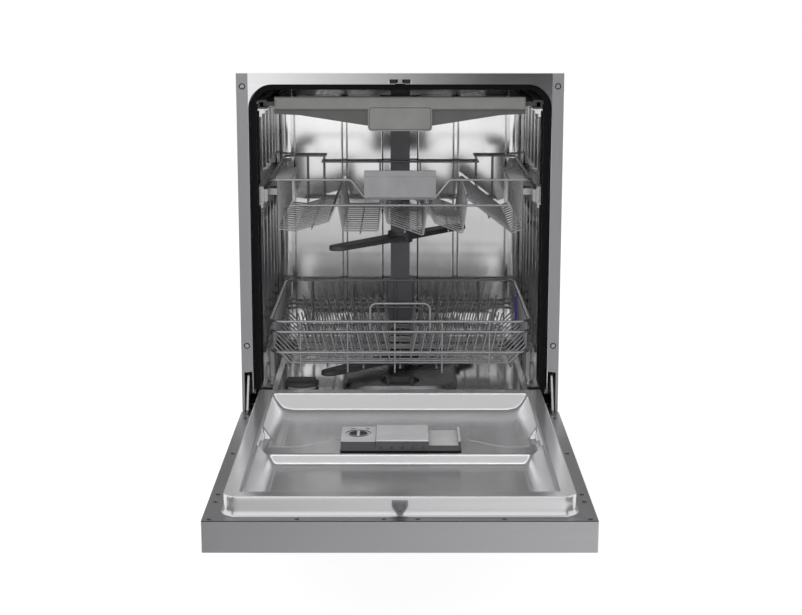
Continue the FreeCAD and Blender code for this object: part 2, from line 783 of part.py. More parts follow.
def tub_void(grow):
    half = TUB_HALF + grow
    box = block(-half, half, TUB_FRONT, TUB_REAR + grow, TUB_FLOOR - grow, TUB_CEILING + grow)
    upright = [e for e in edges_along(box, V(0, 0, 1)) if e.CenterOfMass.y > TUB_REAR - TUB_CORNER]
    box = box.makeFillet(TUB_CORNER + grow, upright)
    rings = []
    for face in box.Faces:
        if face.normalAt(0, 0).cross(V(0, 0, 1)).Length < TINY:
            rings += [e for e in face.Edges if e.CenterOfMass.y > TUB_FRONT + PAST]
    box = box.makeFillet(TUB_EDGE + grow, rings)
    recess = rounded_slab(-RECESS_HALF - grow, RECESS_HALF + grow, RECESS_FRONT - grow, RECESS_REAR + grow,
                          TUB_FLOOR - RECESS_DEPTH - grow, TUB_FLOOR + TUB_EDGE, RECESS_CORNER + grow)
    box = box.fuse(recess)
    ledge = block(LEDGE_INNER + grow, half + PAST, LEDGE_FRONT + grow, LEDGE_REAR - grow,
                  TUB_FLOOR - TUB_EDGE, LEDGE_TOP - grow)
    return box.cut(both_sides(ledge))


def wall_relief():
    relief = []
    for low, high in FLUTE_SPANS:
        for number in range(FLUTE_COUNT):
            y = FLUTE_FIRST + number * FLUTE_PITCH
            x = TUB_HALF + FLUTE_RADIUS - FLUTE_PROUD
            bar = round_rod_z(x, y, low, high, FLUTE_RADIUS)
            relief += both_sides(bar)
    for left, right in PAD_SPANS:
        pad = rounded_front(left, right, TUB_REAR - PAD_PROUD, TUB_REAR + TUB_SHEET / 2,
                            PAD_BOTTOM, PAD_TOP, PAD_CORNER)
        relief += both_sides(pad.makeFillet(PAD_ROUND, face_edges(pad, V(0, -1, 0))))
    return relief


def make_tub():
    outer = tub_void(TUB_SHEET)
    inner = tub_void(0)
    room = block(-TUB_HALF - TUB_SHEET / 2, TUB_HALF + TUB_SHEET / 2, TUB_FRONT, TUB_REAR + TUB_SHEET,
                 TUB_FLOOR, TUB_CEILING)
    relief = [piece.common(room) for piece in wall_relief()]
    shell = outer.cut(inner)
    collar_half = MOUTH_HALF + TUB_SHEET
    collar_top = MOUTH_TOP + TUB_SHEET
    collar_corner = MOUTH_CORNER + TUB_SHEET
    front = SHEET * 2 + SEAT_GAP * 2
    flange = arch(collar_half, MOUTH_BOTTOM, collar_top, collar_corner, TUB_FRONT, TUB_FRONT + TUB_SHEET)
    collar = arch(collar_half, MOUTH_BOTTOM, collar_top, collar_corner, front, TUB_FRONT)
    mouth = arch(MOUTH_HALF, MOUTH_BOTTOM - PAST, MOUTH_TOP, MOUTH_CORNER, front - PAST, TUB_FRONT)
    latch_way = block(-LATCH_SLOT_HALF - LATCH_MARGIN, LATCH_SLOT_HALF + LATCH_MARGIN, front - PAST,
                      LATCH_SLOT_REAR, MOUTH_TOP - PAST, collar_top + PAST)
    lip = block(-LEDGE_INNER, LEDGE_INNER, TUB_FRONT, TUB_FRONT + TUB_SHEET, TUB_UNDER, TUB_FLOOR + TUB_LIP)
    shell = shell.fuse([flange.cut(inner), collar.cut(mouth).cut(latch_way), lip] + relief)
    sump_hole = rounded_slab(-SUMP_HALF + SUMP_LAND, SUMP_HALF - SUMP_LAND, SUMP_FRONT + SUMP_LAND,
                             SUMP_REAR - SUMP_LAND, RECESS_UNDER - PAST, TUB_FLOOR, SUMP_CORNER - SUMP_LAND)
    neck_hole = round_rod_z(SALT_X, SALT_Y, TUB_UNDER - PAST, TUB_FLOOR + PAST, NECK_RADIUS + NECK_CLEARANCE)
    shell = shell.cut([sump_hole, neck_hole]).removeSplitter()
    panels = [block(-BIG, BIG, -BIG, BIG, -BIG, TUB_SPLIT), block(-BIG, BIG, -BIG, BIG, TUB_EAVES, BIG),
              block(-TUB_BEND_X, TUB_BEND_X, -BIG, BIG, TUB_SPLIT, TUB_EAVES)]
    for left, right in ((-BIG, -TUB_BEND_X), (TUB_BEND_X, BIG)):
        panels.append(block(left, right, -BIG, TUB_BEND_Y, TUB_SPLIT, TUB_EAVES))
        panels.append(block(left, right, TUB_BEND_Y, BIG, TUB_SPLIT, TUB_EAVES))
    return [solid for panel in panels for solid in shell.common(panel).Solids]


def make_front_frame():
    plate = block(-FRAME_HALF, FRAME_HALF, SHEET + SEAT_GAP, 2 * SHEET + SEAT_GAP, STRIP_NARROW_Z, HEIGHT)
    mouth = arch(MOUTH_HALF, STRIP_NARROW_Z - PAST, MOUTH_TOP, MOUTH_CORNER, 0, BIG)
    notch = block(-LATCH_HALF - LATCH_MARGIN, LATCH_HALF + LATCH_MARGIN, 0, 2 * SHEET + SEAT_GAP,
                  MOUTH_TOP - PAST, LATCH_NOTCH_TOP)
    flange = block(-FRAME_HALF, FRAME_HALF, SHEET + SEAT_GAP, FRAME_FLANGE, HEIGHT - SHEET, HEIGHT)
    low = HEIGHT - SHEET - PAST
    holes = [round_rod_z(side * WORKTOP_HOLE_X, WORKTOP_HOLE_Y, low, HEIGHT + PAST, WORKTOP_HOLE)
             for side in (-1, 1)]
    return plate.cut([mouth, notch]).fuse(flange).cut(holes).removeSplitter()


def make_side_panel():
    slope_rear = PANEL_SHOULDER + PANEL_SLOPE
    low_top = COVER_Z + SHEET
    outline_yz = [(0, STRIP_BOTTOM), (0, HEIGHT), (PANEL_SHOULDER, HEIGHT), (slope_rear, low_top),
                  (CABINET_DEPTH, low_top), (CABINET_DEPTH, PANEL_BOTTOM), (NOTCH_DEPTH, PANEL_BOTTOM),
                  (NOTCH_DEPTH, STRIP_BOTTOM)]
    sheet = plate_yz(outline_yz, HALF - SHEET, HALF)
    strip_x = HALF - STRIP_WIDTH
    narrow_x = HALF - STRIP_NARROW
    strip = plate_xz([(HALF, STRIP_BOTTOM), (HALF, HEIGHT), (strip_x, HEIGHT), (strip_x, STRIP_NARROW_Z),
                      (narrow_x, STRIP_NARROW_Z - STRIP_STEP), (narrow_x, STRIP_BOTTOM)], 0, SHEET)
    return sheet.fuse(strip).removeSplitter()


def make_back_cover():
    half = HALF - SHEET - SEAT_GAP
    top = block(-half, half, TUB_FRONT + TUB_SHEET + RUN_GAP, CABINET_DEPTH, COVER_Z, COVER_Z + SHEET)
    back = block(-half, half, CABINET_DEPTH - SHEET, CABINET_DEPTH, TUB_UNDER, COVER_Z + SHEET)
    return top.fuse(back).removeSplitter()


def make_base_pan():
    outer = block(-BASE_HALF, BASE_HALF, BASE_FRONT, BASE_REAR, BASE_BOTTOM, TUB_UNDER)
    floor = BASE_BOTTOM + BASE_WALL
    inner_half = BASE_HALF - BASE_WALL
    inner = block(-inner_half, inner_half, BASE_FRONT + BASE_WALL, BASE_REAR - BASE_WALL, floor,
                  TUB_UNDER + PAST)
    sag = TUB_SHEET + RUN_GAP
    recess = block(-RECESS_HALF - sag, RECESS_HALF + sag, RECESS_FRONT - sag, RECESS_REAR + sag,
                   RECESS_UNDER - SEAT_GAP, TUB_UNDER + PAST)
    holes = [round_rod_z(side * FOOT_X, y, BASE_BOTTOM - PAST, floor + PAST, FOOT_STUD + FOOT_CLEARANCE)
             for side in (-1, 1) for y in FOOT_YS]
    valve_x = VALVE_LEFT + VALVE_WIDTH / 2
    valve_z = VALVE_BOTTOM + VALVE_HEIGHT / 2
    holes.append(round_rod_y(valve_x, BASE_REAR - BASE_WALL - PAST, BASE_REAR + PAST, valve_z,
                             VALVE_SPIGOT + PORT_CLEARANCE))
    holes.append(round_rod_y(DRAIN_PIPE_X, BASE_REAR - BASE_WALL - PAST, BASE_REAR + PAST, DRAIN_Z,
                             DRAIN_PIPE + PORT_CLEARANCE))
    lug = block(BASE_HALF, SPRING_X + SPRING_LUG, SPRING_REAR, SPRING_REAR + SPRING_LUG,
                SPRING_Z - SPRING_LUG, SPRING_Z + SPRING_LUG)
    return outer.cut([inner, recess] + holes).fuse(both_sides(lug)).removeSplitter()


def make_kick_plate():
    face = block(-KICK_HALF, KICK_HALF, KICK_FRONT, KICK_FRONT + KICK_WALL, KICK_BOTTOM, KICK_TOP)
    web = block(KICK_RETURN_HALF, KICK_RETURN_HALF + KICK_WALL, KICK_FRONT, BASE_FRONT,
                BASE_BOTTOM, KICK_TOP)
    return face.fuse(both_sides(web)).removeSplitter()


def make_feet():
    feet = []
    for side in (-1, 1):
        for y in FOOT_YS:
            pad = round_rod_z(side * FOOT_X, y, 0, FOOT_PAD_HEIGHT, FOOT_PAD)
            neck = round_rod_z(side * FOOT_X, y, FOOT_PAD_HEIGHT, BASE_BOTTOM, FOOT_NECK)
            stud = round_rod_z(side * FOOT_X, y, BASE_BOTTOM, FOOT_STUD_TOP, FOOT_STUD)
            feet.append(pad.fuse([neck, stud]).removeSplitter())
    return feet


def make_frame_screws():
    return [round_rod_y(side * FRAME_SCREW_X, -SCREW_HEIGHT, 0, z, FRAME_SCREW_HEAD)
            for side in (-1, 1) for z in FRAME_SCREW_ZS]


def make_gasket():
    half = MOUTH_HALF - GASKET_MARGIN
    top = MOUTH_TOP - GASKET_MARGIN
    rear = TUB_FRONT - SEAT_GAP
    outer = arch(half, MOUTH_BOTTOM, top, MOUTH_CORNER - GASKET_MARGIN, GASKET_FRONT, rear)
    inner = arch(half - GASKET_WIDTH, MOUTH_BOTTOM - PAST, top - GASKET_WIDTH,
                 MOUTH_CORNER - GASKET_MARGIN - GASKET_WIDTH, GASKET_FRONT - PAST, rear + PAST)
    seal = block(-SEAL_HALF, SEAL_HALF, rear - SEAL_THICKNESS, rear, TUB_UNDER, TUB_FLOOR + TUB_LIP)
    return [outer.cut(inner), seal]


def make_latch_housing():
    front = 2 * SHEET + SEAT_GAP + RUN_GAP
    bottom = MOUTH_TOP + TUB_SHEET + SEAT_GAP
    body = block(-LATCH_HALF, LATCH_HALF, front, LATCH_REAR, bottom, LATCH_TOP)
    slot = block(-LATCH_SLOT_HALF, LATCH_SLOT_HALF, front - PAST, LATCH_SLOT_REAR, bottom - PAST,
                 LATCH_SLOT_TOP)
    pin = round_rod_x(-LATCH_SLOT_HALF, LATCH_SLOT_HALF, HOOK_PIVOT_Y, HOOK_PIVOT_Z, HOOK_PIN)
    return body.cut(slot).fuse(pin).removeSplitter()


def make_latch_hook():
    hub = round_rod_x(-HOOK_HALF, HOOK_HALF, HOOK_PIVOT_Y, HOOK_PIVOT_Z, HOOK_HUB)
    tip = HOOK_PIVOT_Y - HOOK_REACH
    arm = plate_yz([(HOOK_PIVOT_Y, HOOK_PIVOT_Z + HOOK_NECK), (tip, HOOK_PIVOT_Z + HOOK_PIN),
                    (tip, HOOK_PIVOT_Z - HOOK_CLAW), (tip + HOOK_HUB, HOOK_PIVOT_Z - HOOK_PIN),
                    (HOOK_PIVOT_Y, HOOK_PIVOT_Z - HOOK_NECK)], -HOOK_HALF, HOOK_HALF)
    bore = round_rod_x(-HOOK_HALF - PAST, HOOK_HALF + PAST, HOOK_PIVOT_Y, HOOK_PIVOT_Z, HOOK_PIN + PIN_GAP)
    return hub.fuse(arm).cut(bore).removeSplitter()


def make_water_feed_duct():
    rear = TUB_REAR - SEAT_GAP
    front = rear - DUCT_THICKNESS
    top = TUB_CEILING - SEAT_GAP
    low = TUB_FLOOR + SEAT_GAP + TUB_EDGE
    foot = block(-DUCT_FOOT_HALF, DUCT_FOOT_HALF, front, rear, low, DUCT_FOOT_TOP)
    foot = foot.makeFillet(DUCT_ROUND, edges_along(foot, V(0, 0, 1)))
    riser = block(-DUCT_HALF, DUCT_HALF, front, rear, DUCT_FOOT_TOP, top - TUB_EDGE)
    run = block(-DUCT_HALF, DUCT_HALF, HUB_Y, rear - TUB_EDGE, top - DUCT_TOP_RUN, top)
    knee = plate_yz([(front, top - TUB_EDGE), (rear, top - TUB_EDGE), (rear - TUB_EDGE, top),
                     (rear - TUB_EDGE, top - DUCT_TOP_RUN)], -DUCT_HALF, DUCT_HALF)
    head = round_rod_z(0, HUB_Y, top - DUCT_TOP_RUN, top, CEILING_HEAD)
    dock = round_rod_y(0, front - DOCK_LENGTH, front, (FEED_BOTTOM + FEED_TOP) / 2, DOCK_RADIUS)
    return foot.fuse([riser, run, knee, head]).removeSplitter(), dock


# Sump, pumps and softener

def make_sump():
    floor = SUMP_BOTTOM + SUMP_WALL
    outer = rounded_slab(-SUMP_HALF, SUMP_HALF, SUMP_FRONT, SUMP_REAR, SUMP_BOTTOM, RECESS_UNDER,
                         SUMP_CORNER)
    inner = rounded_slab(-SUMP_HALF + SUMP_WALL, SUMP_HALF - SUMP_WALL, SUMP_FRONT + SUMP_WALL,
                         SUMP_REAR - SUMP_WALL, floor, RECESS_UNDER + PAST, SUMP_CORNER - SUMP_WALL)
    tower = round_rod_z(0, HUB_Y, floor, TOWER_TOP, TOWER_RADIUS)
    pin = round_rod_z(0, HUB_Y, TOWER_TOP, TOWER_TOP + ARM_PIN_LENGTH, ARM_PIN)
    seat = round_rod_z(0, FILTER_Y, floor, FILTER_BOTTOM - RUN_GAP, FILTER_RADIUS / 2)
    peg = round_rod_z(0, FILTER_Y, FILTER_BOTTOM - RUN_GAP, FILTER_BOTTOM + FILTER_PIN_LENGTH, FILTER_PIN)
    return outer.cut(inner).fuse([tower, pin, seat, peg]).removeSplitter()


def make_filter_plate():
    floor = TUB_FLOOR - RECESS_DEPTH + SEAT_GAP
    outer = rounded_slab(-PLATE_HALF, PLATE_HALF, PLATE_FRONT, PLATE_REAR, floor, PLATE_TOP, PLATE_CORNER)
    outer = outer.makeChamfer(PLATE_BEVEL, face_edges(outer, V(0, 0, 1)))
    wall = PLATE_WALL
    inner = rounded_slab(-PLATE_HALF + wall, PLATE_HALF - wall, PLATE_FRONT + wall, PLATE_REAR - wall,
                         floor - PAST, PLATE_TOP - wall, PLATE_CORNER - wall)
    inner = inner.makeChamfer(PLATE_BEVEL, face_edges(inner, V(0, 0, 1)))
    cuts = [inner]
    for y, radius in ((FILTER_Y, FILTER_RADIUS), (HUB_Y, TOWER_RADIUS)):
        cuts.append(round_rod_z(0, y, floor - PAST, PLATE_TOP + PAST, radius + FILTER_CLEARANCE))
    step = 360.0 / (2 * PLATE_RAYS)
    for number in range(PLATE_RAYS):
        ray = block(PLATE_RAY_START, PLATE_RAY_END, -PLATE_RAY_WIDTH / 2, PLATE_RAY_WIDTH / 2,
                    PLATE_TOP - 2 * wall, PLATE_TOP + PAST)
        ray.rotate(V(0, 0, 0), V(0, 0, 1), step * (number + 0.5))
        cuts.append(moved(ray, y=FILTER_Y + FILTER_RADIUS))
    return outer.cut(cuts)


def make_filter_cylinder():
    body = round_rod_z(0, FILTER_Y, FILTER_BOTTOM, FILTER_TOP, FILTER_RADIUS)
    near = FILTER_Y - FILTER_GRIP_DEPTH / 2
    grip = rounded_slab(-FILTER_GRIP_HALF, FILTER_GRIP_HALF, near, FILTER_Y + FILTER_GRIP_DEPTH / 2,
                        FILTER_TOP, FILTER_GRIP_TOP, FILTER_GRIP_BAR / 2)
    scoop_half = FILTER_GRIP_HALF - FILTER_GRIP_BAR
    scoop = block(-scoop_half, scoop_half, near - PAST, FILTER_Y - FILTER_GRIP_BAR / 2, FILTER_TOP,
                  FILTER_GRIP_TOP + PAST)
    far_scoop = scoop.mirror(V(0, FILTER_Y, 0), V(0, 1, 0))
    bore = round_rod_z(0, FILTER_Y, FILTER_BOTTOM - PAST, FILTER_BOTTOM + FILTER_PIN_LENGTH + RUN_GAP,
                       FILTER_PIN + PIN_GAP)
    return body.fuse(grip).cut([scoop, far_scoop, bore]).removeSplitter()


def make_circulation_pump():
    volute = round_rod_x(SUMP_HALF, SUMP_HALF + PUMP_VOLUTE_LENGTH, PUMP_Y, PUMP_Z, PUMP_VOLUTE)
    motor = round_rod_x(SUMP_HALF, SUMP_HALF + PUMP_LENGTH, PUMP_Y, PUMP_Z, PUMP_MOTOR)
    return volute.fuse(motor).removeSplitter()


def make_drain_pump():
    body = round_rod_x(-SUMP_HALF - DRAIN_LENGTH, -SUMP_HALF, DRAIN_Y, DRAIN_Z, DRAIN_RADIUS)
    pipe = round_rod_y(DRAIN_PIPE_X, DRAIN_Y, PORT_END, DRAIN_Z, DRAIN_PIPE - PORT_SHOULDER)
    spigot = round_rod_y(DRAIN_PIPE_X, BASE_REAR + RUN_GAP, PORT_END, DRAIN_Z, DRAIN_PIPE)
    return body.fuse([pipe, spigot]).removeSplitter()


def make_softener_tank():
    tank = rounded_slab(TANK_LEFT, TANK_RIGHT, TANK_FRONT, TANK_REAR, TANK_BOTTOM, TANK_TOP, NECK_BORE)
    neck = round_rod_z(SALT_X, SALT_Y, TANK_TOP, NECK_TOP, NECK_RADIUS)
    bore = round_rod_z(SALT_X, SALT_Y, NECK_TOP - NECK_BORE_DEPTH, NECK_TOP + PAST, NECK_BORE + PIN_GAP)
    return tank.fuse(neck).cut(bore).removeSplitter()


def make_salt_cap():
    bottom = NECK_TOP + RUN_GAP
    head = round_rod_z(SALT_X, SALT_Y, bottom, bottom + SALT_HEAD_HEIGHT, SALT_HEAD)
    head = head.makeFillet(BLADE_ROUND, face_edges(head, V(0, 0, 1)))
    plug = round_rod_z(SALT_X, SALT_Y, bottom - SALT_PLUG_LENGTH, bottom, NECK_BORE)
    reach = SALT_HEAD - SALT_GRIP / 2
    grip = block(SALT_X - reach, SALT_X + reach, SALT_Y - SALT_GRIP / 2, SALT_Y + SALT_GRIP / 2,
                 bottom + SALT_HEAD_HEIGHT, bottom + SALT_HEAD_HEIGHT + SALT_GRIP_HEIGHT)
    return head.fuse([plug, grip]).removeSplitter()


def make_inlet_valve():
    rear = BASE_REAR - BASE_WALL
    body = block(VALVE_LEFT, VALVE_LEFT + VALVE_WIDTH, rear - VALVE_DEPTH, rear,
                 VALVE_BOTTOM, VALVE_BOTTOM + VALVE_HEIGHT)
    x = VALVE_LEFT + VALVE_WIDTH / 2
    z = VALVE_BOTTOM + VALVE_HEIGHT / 2
    neck = round_rod_y(x, rear, PORT_END, z, VALVE_SPIGOT - PORT_SHOULDER)
    spigot = round_rod_y(x, BASE_REAR + RUN_GAP, PORT_END, z, VALVE_SPIGOT)
    return body.fuse([neck, spigot]).removeSplitter()


# Hinges

def make_hinge_bracket():
    plate = plate_yz([(PIVOT_Y, PIVOT_Z - BRACKET_EYE), (BRACKET_REAR, PIVOT_Z - BRACKET_EYE),
                      (BRACKET_REAR, PIVOT_Z + BRACKET_EYE), (PIVOT_Y, PIVOT_Z + BRACKET_EYE)],
                     BRACKET_INNER, BRACKET_INNER + BRACKET_THICKNESS)
    eye = round_rod_x(BRACKET_INNER, BRACKET_INNER + BRACKET_THICKNESS, PIVOT_Y, PIVOT_Z, BRACKET_EYE)
    foot = block(BASE_HALF, BRACKET_INNER, BRACKET_REAR - BRACKET_FOOT, BRACKET_REAR,
                 PIVOT_Z - BRACKET_EYE, PIVOT_Z + BRACKET_EYE)
    pin = round_rod_x(HINGE_PIN_INNER, HINGE_PIN_OUTER, PIVOT_Y, PIVOT_Z, HINGE_PIN)
    return plate.fuse([eye, foot, pin]).removeSplitter()


def make_hinge_arm():
    top = PAN_TOP
    low = top - ARM_DEPTH
    lean = HORN_WIDTH / 2
    points = [(ARM_FRONT, low), (ARM_FRONT, top), (HINGE_CHANNEL_FRONT, top),
              (PIVOT_Y - ARM_DEPTH / 2, top + lean), (HORN_TIP_Y - ARM_DEPTH, HORN_TIP_Z - ARM_DEPTH),
              (HORN_TIP_Y - HORN_WIDTH, HORN_TIP_Z), (HORN_TIP_Y, HORN_TIP_Z),
              (HORN_TIP_Y + lean / 2, HORN_TIP_Z - HORN_WIDTH),
              (PIVOT_Y + ARM_DEPTH / 2, PIVOT_Z + lean), (PIVOT_Y + ARM_DEPTH / 2, low + lean),
              (PIVOT_Y, low)]
    arm = plate_yz(points, ARM_INNER, ARM_INNER + ARM_THICKNESS)
    bore = round_rod_x(ARM_INNER - PAST, ARM_INNER + ARM_THICKNESS + PAST, PIVOT_Y, PIVOT_Z,
                       HINGE_PIN + PIN_GAP)
    return arm.cut(bore)


def make_balance_spring():
    coil = round_rod_y(SPRING_X, SPRING_FRONT, SPRING_REAR, SPRING_Z, SPRING_RADIUS)
    tip = V(SPRING_X, HORN_TIP_Y + HORN_CORD_GAP, HORN_TIP_Z - HORN_WIDTH / 2)
    cord = rod(tip, V(SPRING_X, SPRING_FRONT + SPRING_RADIUS, SPRING_Z), 2 * SPRING_CORD)
    return coil.fuse(cord).removeSplitter()


# Door

def liner_voids(grow):
    top_x = LINER_HALF - LINER_RIM + grow
    above = LINER_TOP - SHEET / 2 if grow else LINER_TOP + PAST
    slope = BASIN_SLOPE / (LINER_TOP - BRIDGE_Z)
    lift = (above - LINER_TOP) * slope
    corner = BASIN_CORNER + grow
    mid_x = top_x - BASIN_SLOPE
    near_y = BASIN_NEAR + BASIN_SLOPE - grow
    rear_y = BASIN_REAR - BASIN_SLOPE + grow
    upper = frustum((mid_x, near_y, rear_y, BRIDGE_Z - grow, corner),
                    (top_x + lift, BASIN_NEAR - lift - grow, BASIN_REAR + lift + grow, above, corner))
    rear_z = BORDER_Z + REAR_FLOOR_RISE - grow
    bridge_y = BRIDGE_REAR - grow
    rear = frustum((mid_x - STEP_SLOPE, bridge_y + STEP_SLOPE, rear_y - STEP_SLOPE, rear_z, corner),
                   (mid_x, bridge_y, rear_y, BRIDGE_Z + SHEET, corner))
    near_z = BORDER_Z - NEAR_FLOOR_DROP - grow
    drop = BRIDGE_RISE + NEAR_FLOOR_DROP
    near = frustum((mid_x - drop, near_y + drop, BRIDGE_NEAR - drop + grow, near_z, corner),
                   (mid_x, near_y, BRIDGE_NEAR + grow, BRIDGE_Z + SHEET, corner))
    return upper.fuse([rear, near])


def liner_block(inset, bottom):
    shape = rounded_slab(-LINER_HALF + inset, LINER_HALF - inset, LINER_NEAR + inset, LINER_REAR - inset,
                         bottom, LINER_TOP - inset, LINER_CORNER)
    return shape.makeFillet(LINER_EDGE_ROUND, face_edges(shape, V(0, 0, 1)))


def hinge_channels(low, high):
    slot = block(CHANNEL_X, BRACKET_INNER, HINGE_CHANNEL_FRONT, DOOR_TAIL + PAST, low, high)
    room = block(CHANNEL_X, HALF + PAST, PIVOT_Y - BRACKET_EYE - HINGE_EYE_ROOM, DOOR_TAIL + PAST, low, high)
    return both_sides(slot.fuse(room))


def make_door_liner():
    edge = SHEET / 2
    border = block(-HALF + edge, HALF - edge, -DOOR_REACH + edge, LINER_REAR, PAN_TOP, BORDER_Z)
    border = border.cut(hinge_channels(PAN_TOP - PAST, BORDER_Z + PAST))
    sheet = border.fuse(liner_block(0, PAN_TOP)).cut(liner_block(SHEET, PAN_TOP - PAST))
    return sheet.fuse(liner_voids(SHEET)).cut(liner_voids(0)).removeSplitter()


def make_door_outer_panel():
    outer = rounded_slab(-HALF, HALF, -DOOR_REACH, DOOR_TAIL, DOOR_BOTTOM, PAN_TOP, CORNER_ROUND)
    inner = block(-HALF + SHEET, HALF - SHEET, -DOOR_REACH + SHEET, DOOR_TAIL - SHEET, SKIN_TOP,
                  PAN_TOP + PAST)
    window = block(-FASCIA_HALF, FASCIA_HALF, FASCIA_TOP, FASCIA_LOW, DOOR_BOTTOM - PAST, SKIN_TOP + PAST)
    pocket = block(-POCKET_HALF, POCKET_HALF, POCKET_TOP, POCKET_LOW, DOOR_BOTTOM - PAST, SKIN_TOP + PAST)
    return outer.cut([inner, window, pocket] + hinge_channels(SKIN_TOP, PAN_TOP + PAST)).removeSplitter()


def make_control_fascia():
    gap = FASCIA_CLEARANCE
    rear = DOOR_BOTTOM + FASCIA_THICKNESS
    face = block(-FASCIA_HALF + gap, FASCIA_HALF - gap, FASCIA_TOP + gap, FASCIA_LOW - gap, DOOR_BOTTOM,
                 rear)
    flange = block(-FASCIA_HALF - FASCIA_FLANGE, FASCIA_HALF + FASCIA_FLANGE, FASCIA_TOP - FASCIA_FLANGE,
                   FASCIA_LOW + FASCIA_FLANGE, SKIN_TOP, rear)
    middle = (FASCIA_TOP + FASCIA_LOW) / 2
    holes = [round_rod_z(x, middle, DOOR_BOTTOM - PAST, rear + PAST, BUTTON_RADIUS + BUTTON_CLEARANCE)
             for x in (POWER_X, PROGRAM_X, START_X)]
    half_width = DISPLAY_WIDTH / 2
    half_height = DISPLAY_HEIGHT / 2
    holes.append(block(DISPLAY_X - half_width, DISPLAY_X + half_width, middle - half_height,
                       middle + half_height, DOOR_BOTTOM - PAST, rear + PAST))
    return face.fuse(flange).cut(holes).removeSplitter()


def make_display_window():
    gap = SEAT_GAP
    middle = (FASCIA_TOP + FASCIA_LOW) / 2
    return block(DISPLAY_X - DISPLAY_WIDTH / 2 + gap, DISPLAY_X + DISPLAY_WIDTH / 2 - gap,
                 middle - DISPLAY_HEIGHT / 2 + gap, middle + DISPLAY_HEIGHT / 2 - gap,
                 DOOR_BOTTOM, DOOR_BOTTOM + FASCIA_THICKNESS)


def make_button(x):
    middle = (FASCIA_TOP + FASCIA_LOW) / 2
    flange_z = DOOR_BOTTOM + FASCIA_THICKNESS + BUTTON_CLEARANCE
    top = flange_z + BUTTON_FLANGE_THICKNESS
    head = round_rod_z(x, middle, DOOR_BOTTOM - BUTTON_PROUD, top, BUTTON_RADIUS)
    flange = round_rod_z(x, middle, flange_z, top, BUTTON_FLANGE)
    return head.fuse(flange).removeSplitter()


def make_control_board():
    rear = DOOR_BOTTOM + FASCIA_THICKNESS
    standoff = BUTTON_CLEARANCE + BUTTON_FLANGE_THICKNESS + BUTTON_TRAVEL + BOARD_SPARE
    middle = (FASCIA_TOP + FASCIA_LOW) / 2
    half_height = (FASCIA_LOW - FASCIA_TOP) / 2
    board = block(-BOARD_HALF, BOARD_HALF, middle - half_height, middle + half_height,
                  rear + standoff, rear + standoff + BOARD_THICKNESS)
    post = block(BOARD_HALF - POST_SIDE, BOARD_HALF, middle - POST_SIDE, middle + POST_SIDE, rear,
                 rear + standoff)
    return board.fuse(both_sides(post)).removeSplitter()


def make_handle_pocket():
    gap = FASCIA_CLEARANCE
    outer = block(-POCKET_HALF + gap, POCKET_HALF - gap, POCKET_TOP + gap, POCKET_LOW - gap, DOOR_BOTTOM,
                  DOOR_BOTTOM + POCKET_DEPTH)
    flange = block(-POCKET_HALF - FASCIA_FLANGE, POCKET_HALF + FASCIA_FLANGE, POCKET_TOP - FASCIA_FLANGE,
                   POCKET_LOW + FASCIA_FLANGE, SKIN_TOP, SKIN_TOP + POCKET_WALL)
    wall = POCKET_WALL
    inner = block(-POCKET_HALF + wall, POCKET_HALF - wall, POCKET_TOP + wall, POCKET_LOW - wall,
                  DOOR_BOTTOM - PAST, DOOR_BOTTOM + POCKET_DEPTH - wall)
    return outer.fuse(flange).cut(inner).removeSplitter()


def make_door_strike():
    low = BORDER_Z + STRIKE_TIP
    high = LINER_TOP - LINER_EDGE_ROUND
    front = LINER_NEAR - STRIKE_PROUD
    waist = low + STRIKE_HALF
    shape = plate_xz([(-STRIKE_HALF, high), (STRIKE_HALF, high), (STRIKE_HALF, waist), (STRIKE_TIP, low),
                      (-STRIKE_TIP, low), (-STRIKE_HALF, waist)], front, LINER_NEAR)
    inner = STRIKE_HALF - STRIKE_TIP
    point = STRIKE_TIP / 2
    hole = plate_xz([(-inner, high - STRIKE_TIP), (inner, high - STRIKE_TIP), (inner, waist),
                     (point, low + STRIKE_TIP), (-point, low + STRIKE_TIP), (-inner, waist)],
                    front - PAST, LINER_NEAR - STRIKE_WEB)
    return shape.cut(hole)


def make_door_screws():
    places = [(side * SIDE_SCREW_X, y) for side in (-1, 1) for y in SIDE_SCREW_YS]
    places += [(x, NEAR_SCREW_Y) for x in NEAR_SCREW_XS]
    return [round_rod_z(x, y, BORDER_Z, BORDER_Z + SCREW_HEIGHT, SCREW_HEAD) for x, y in places]


# Dispenser

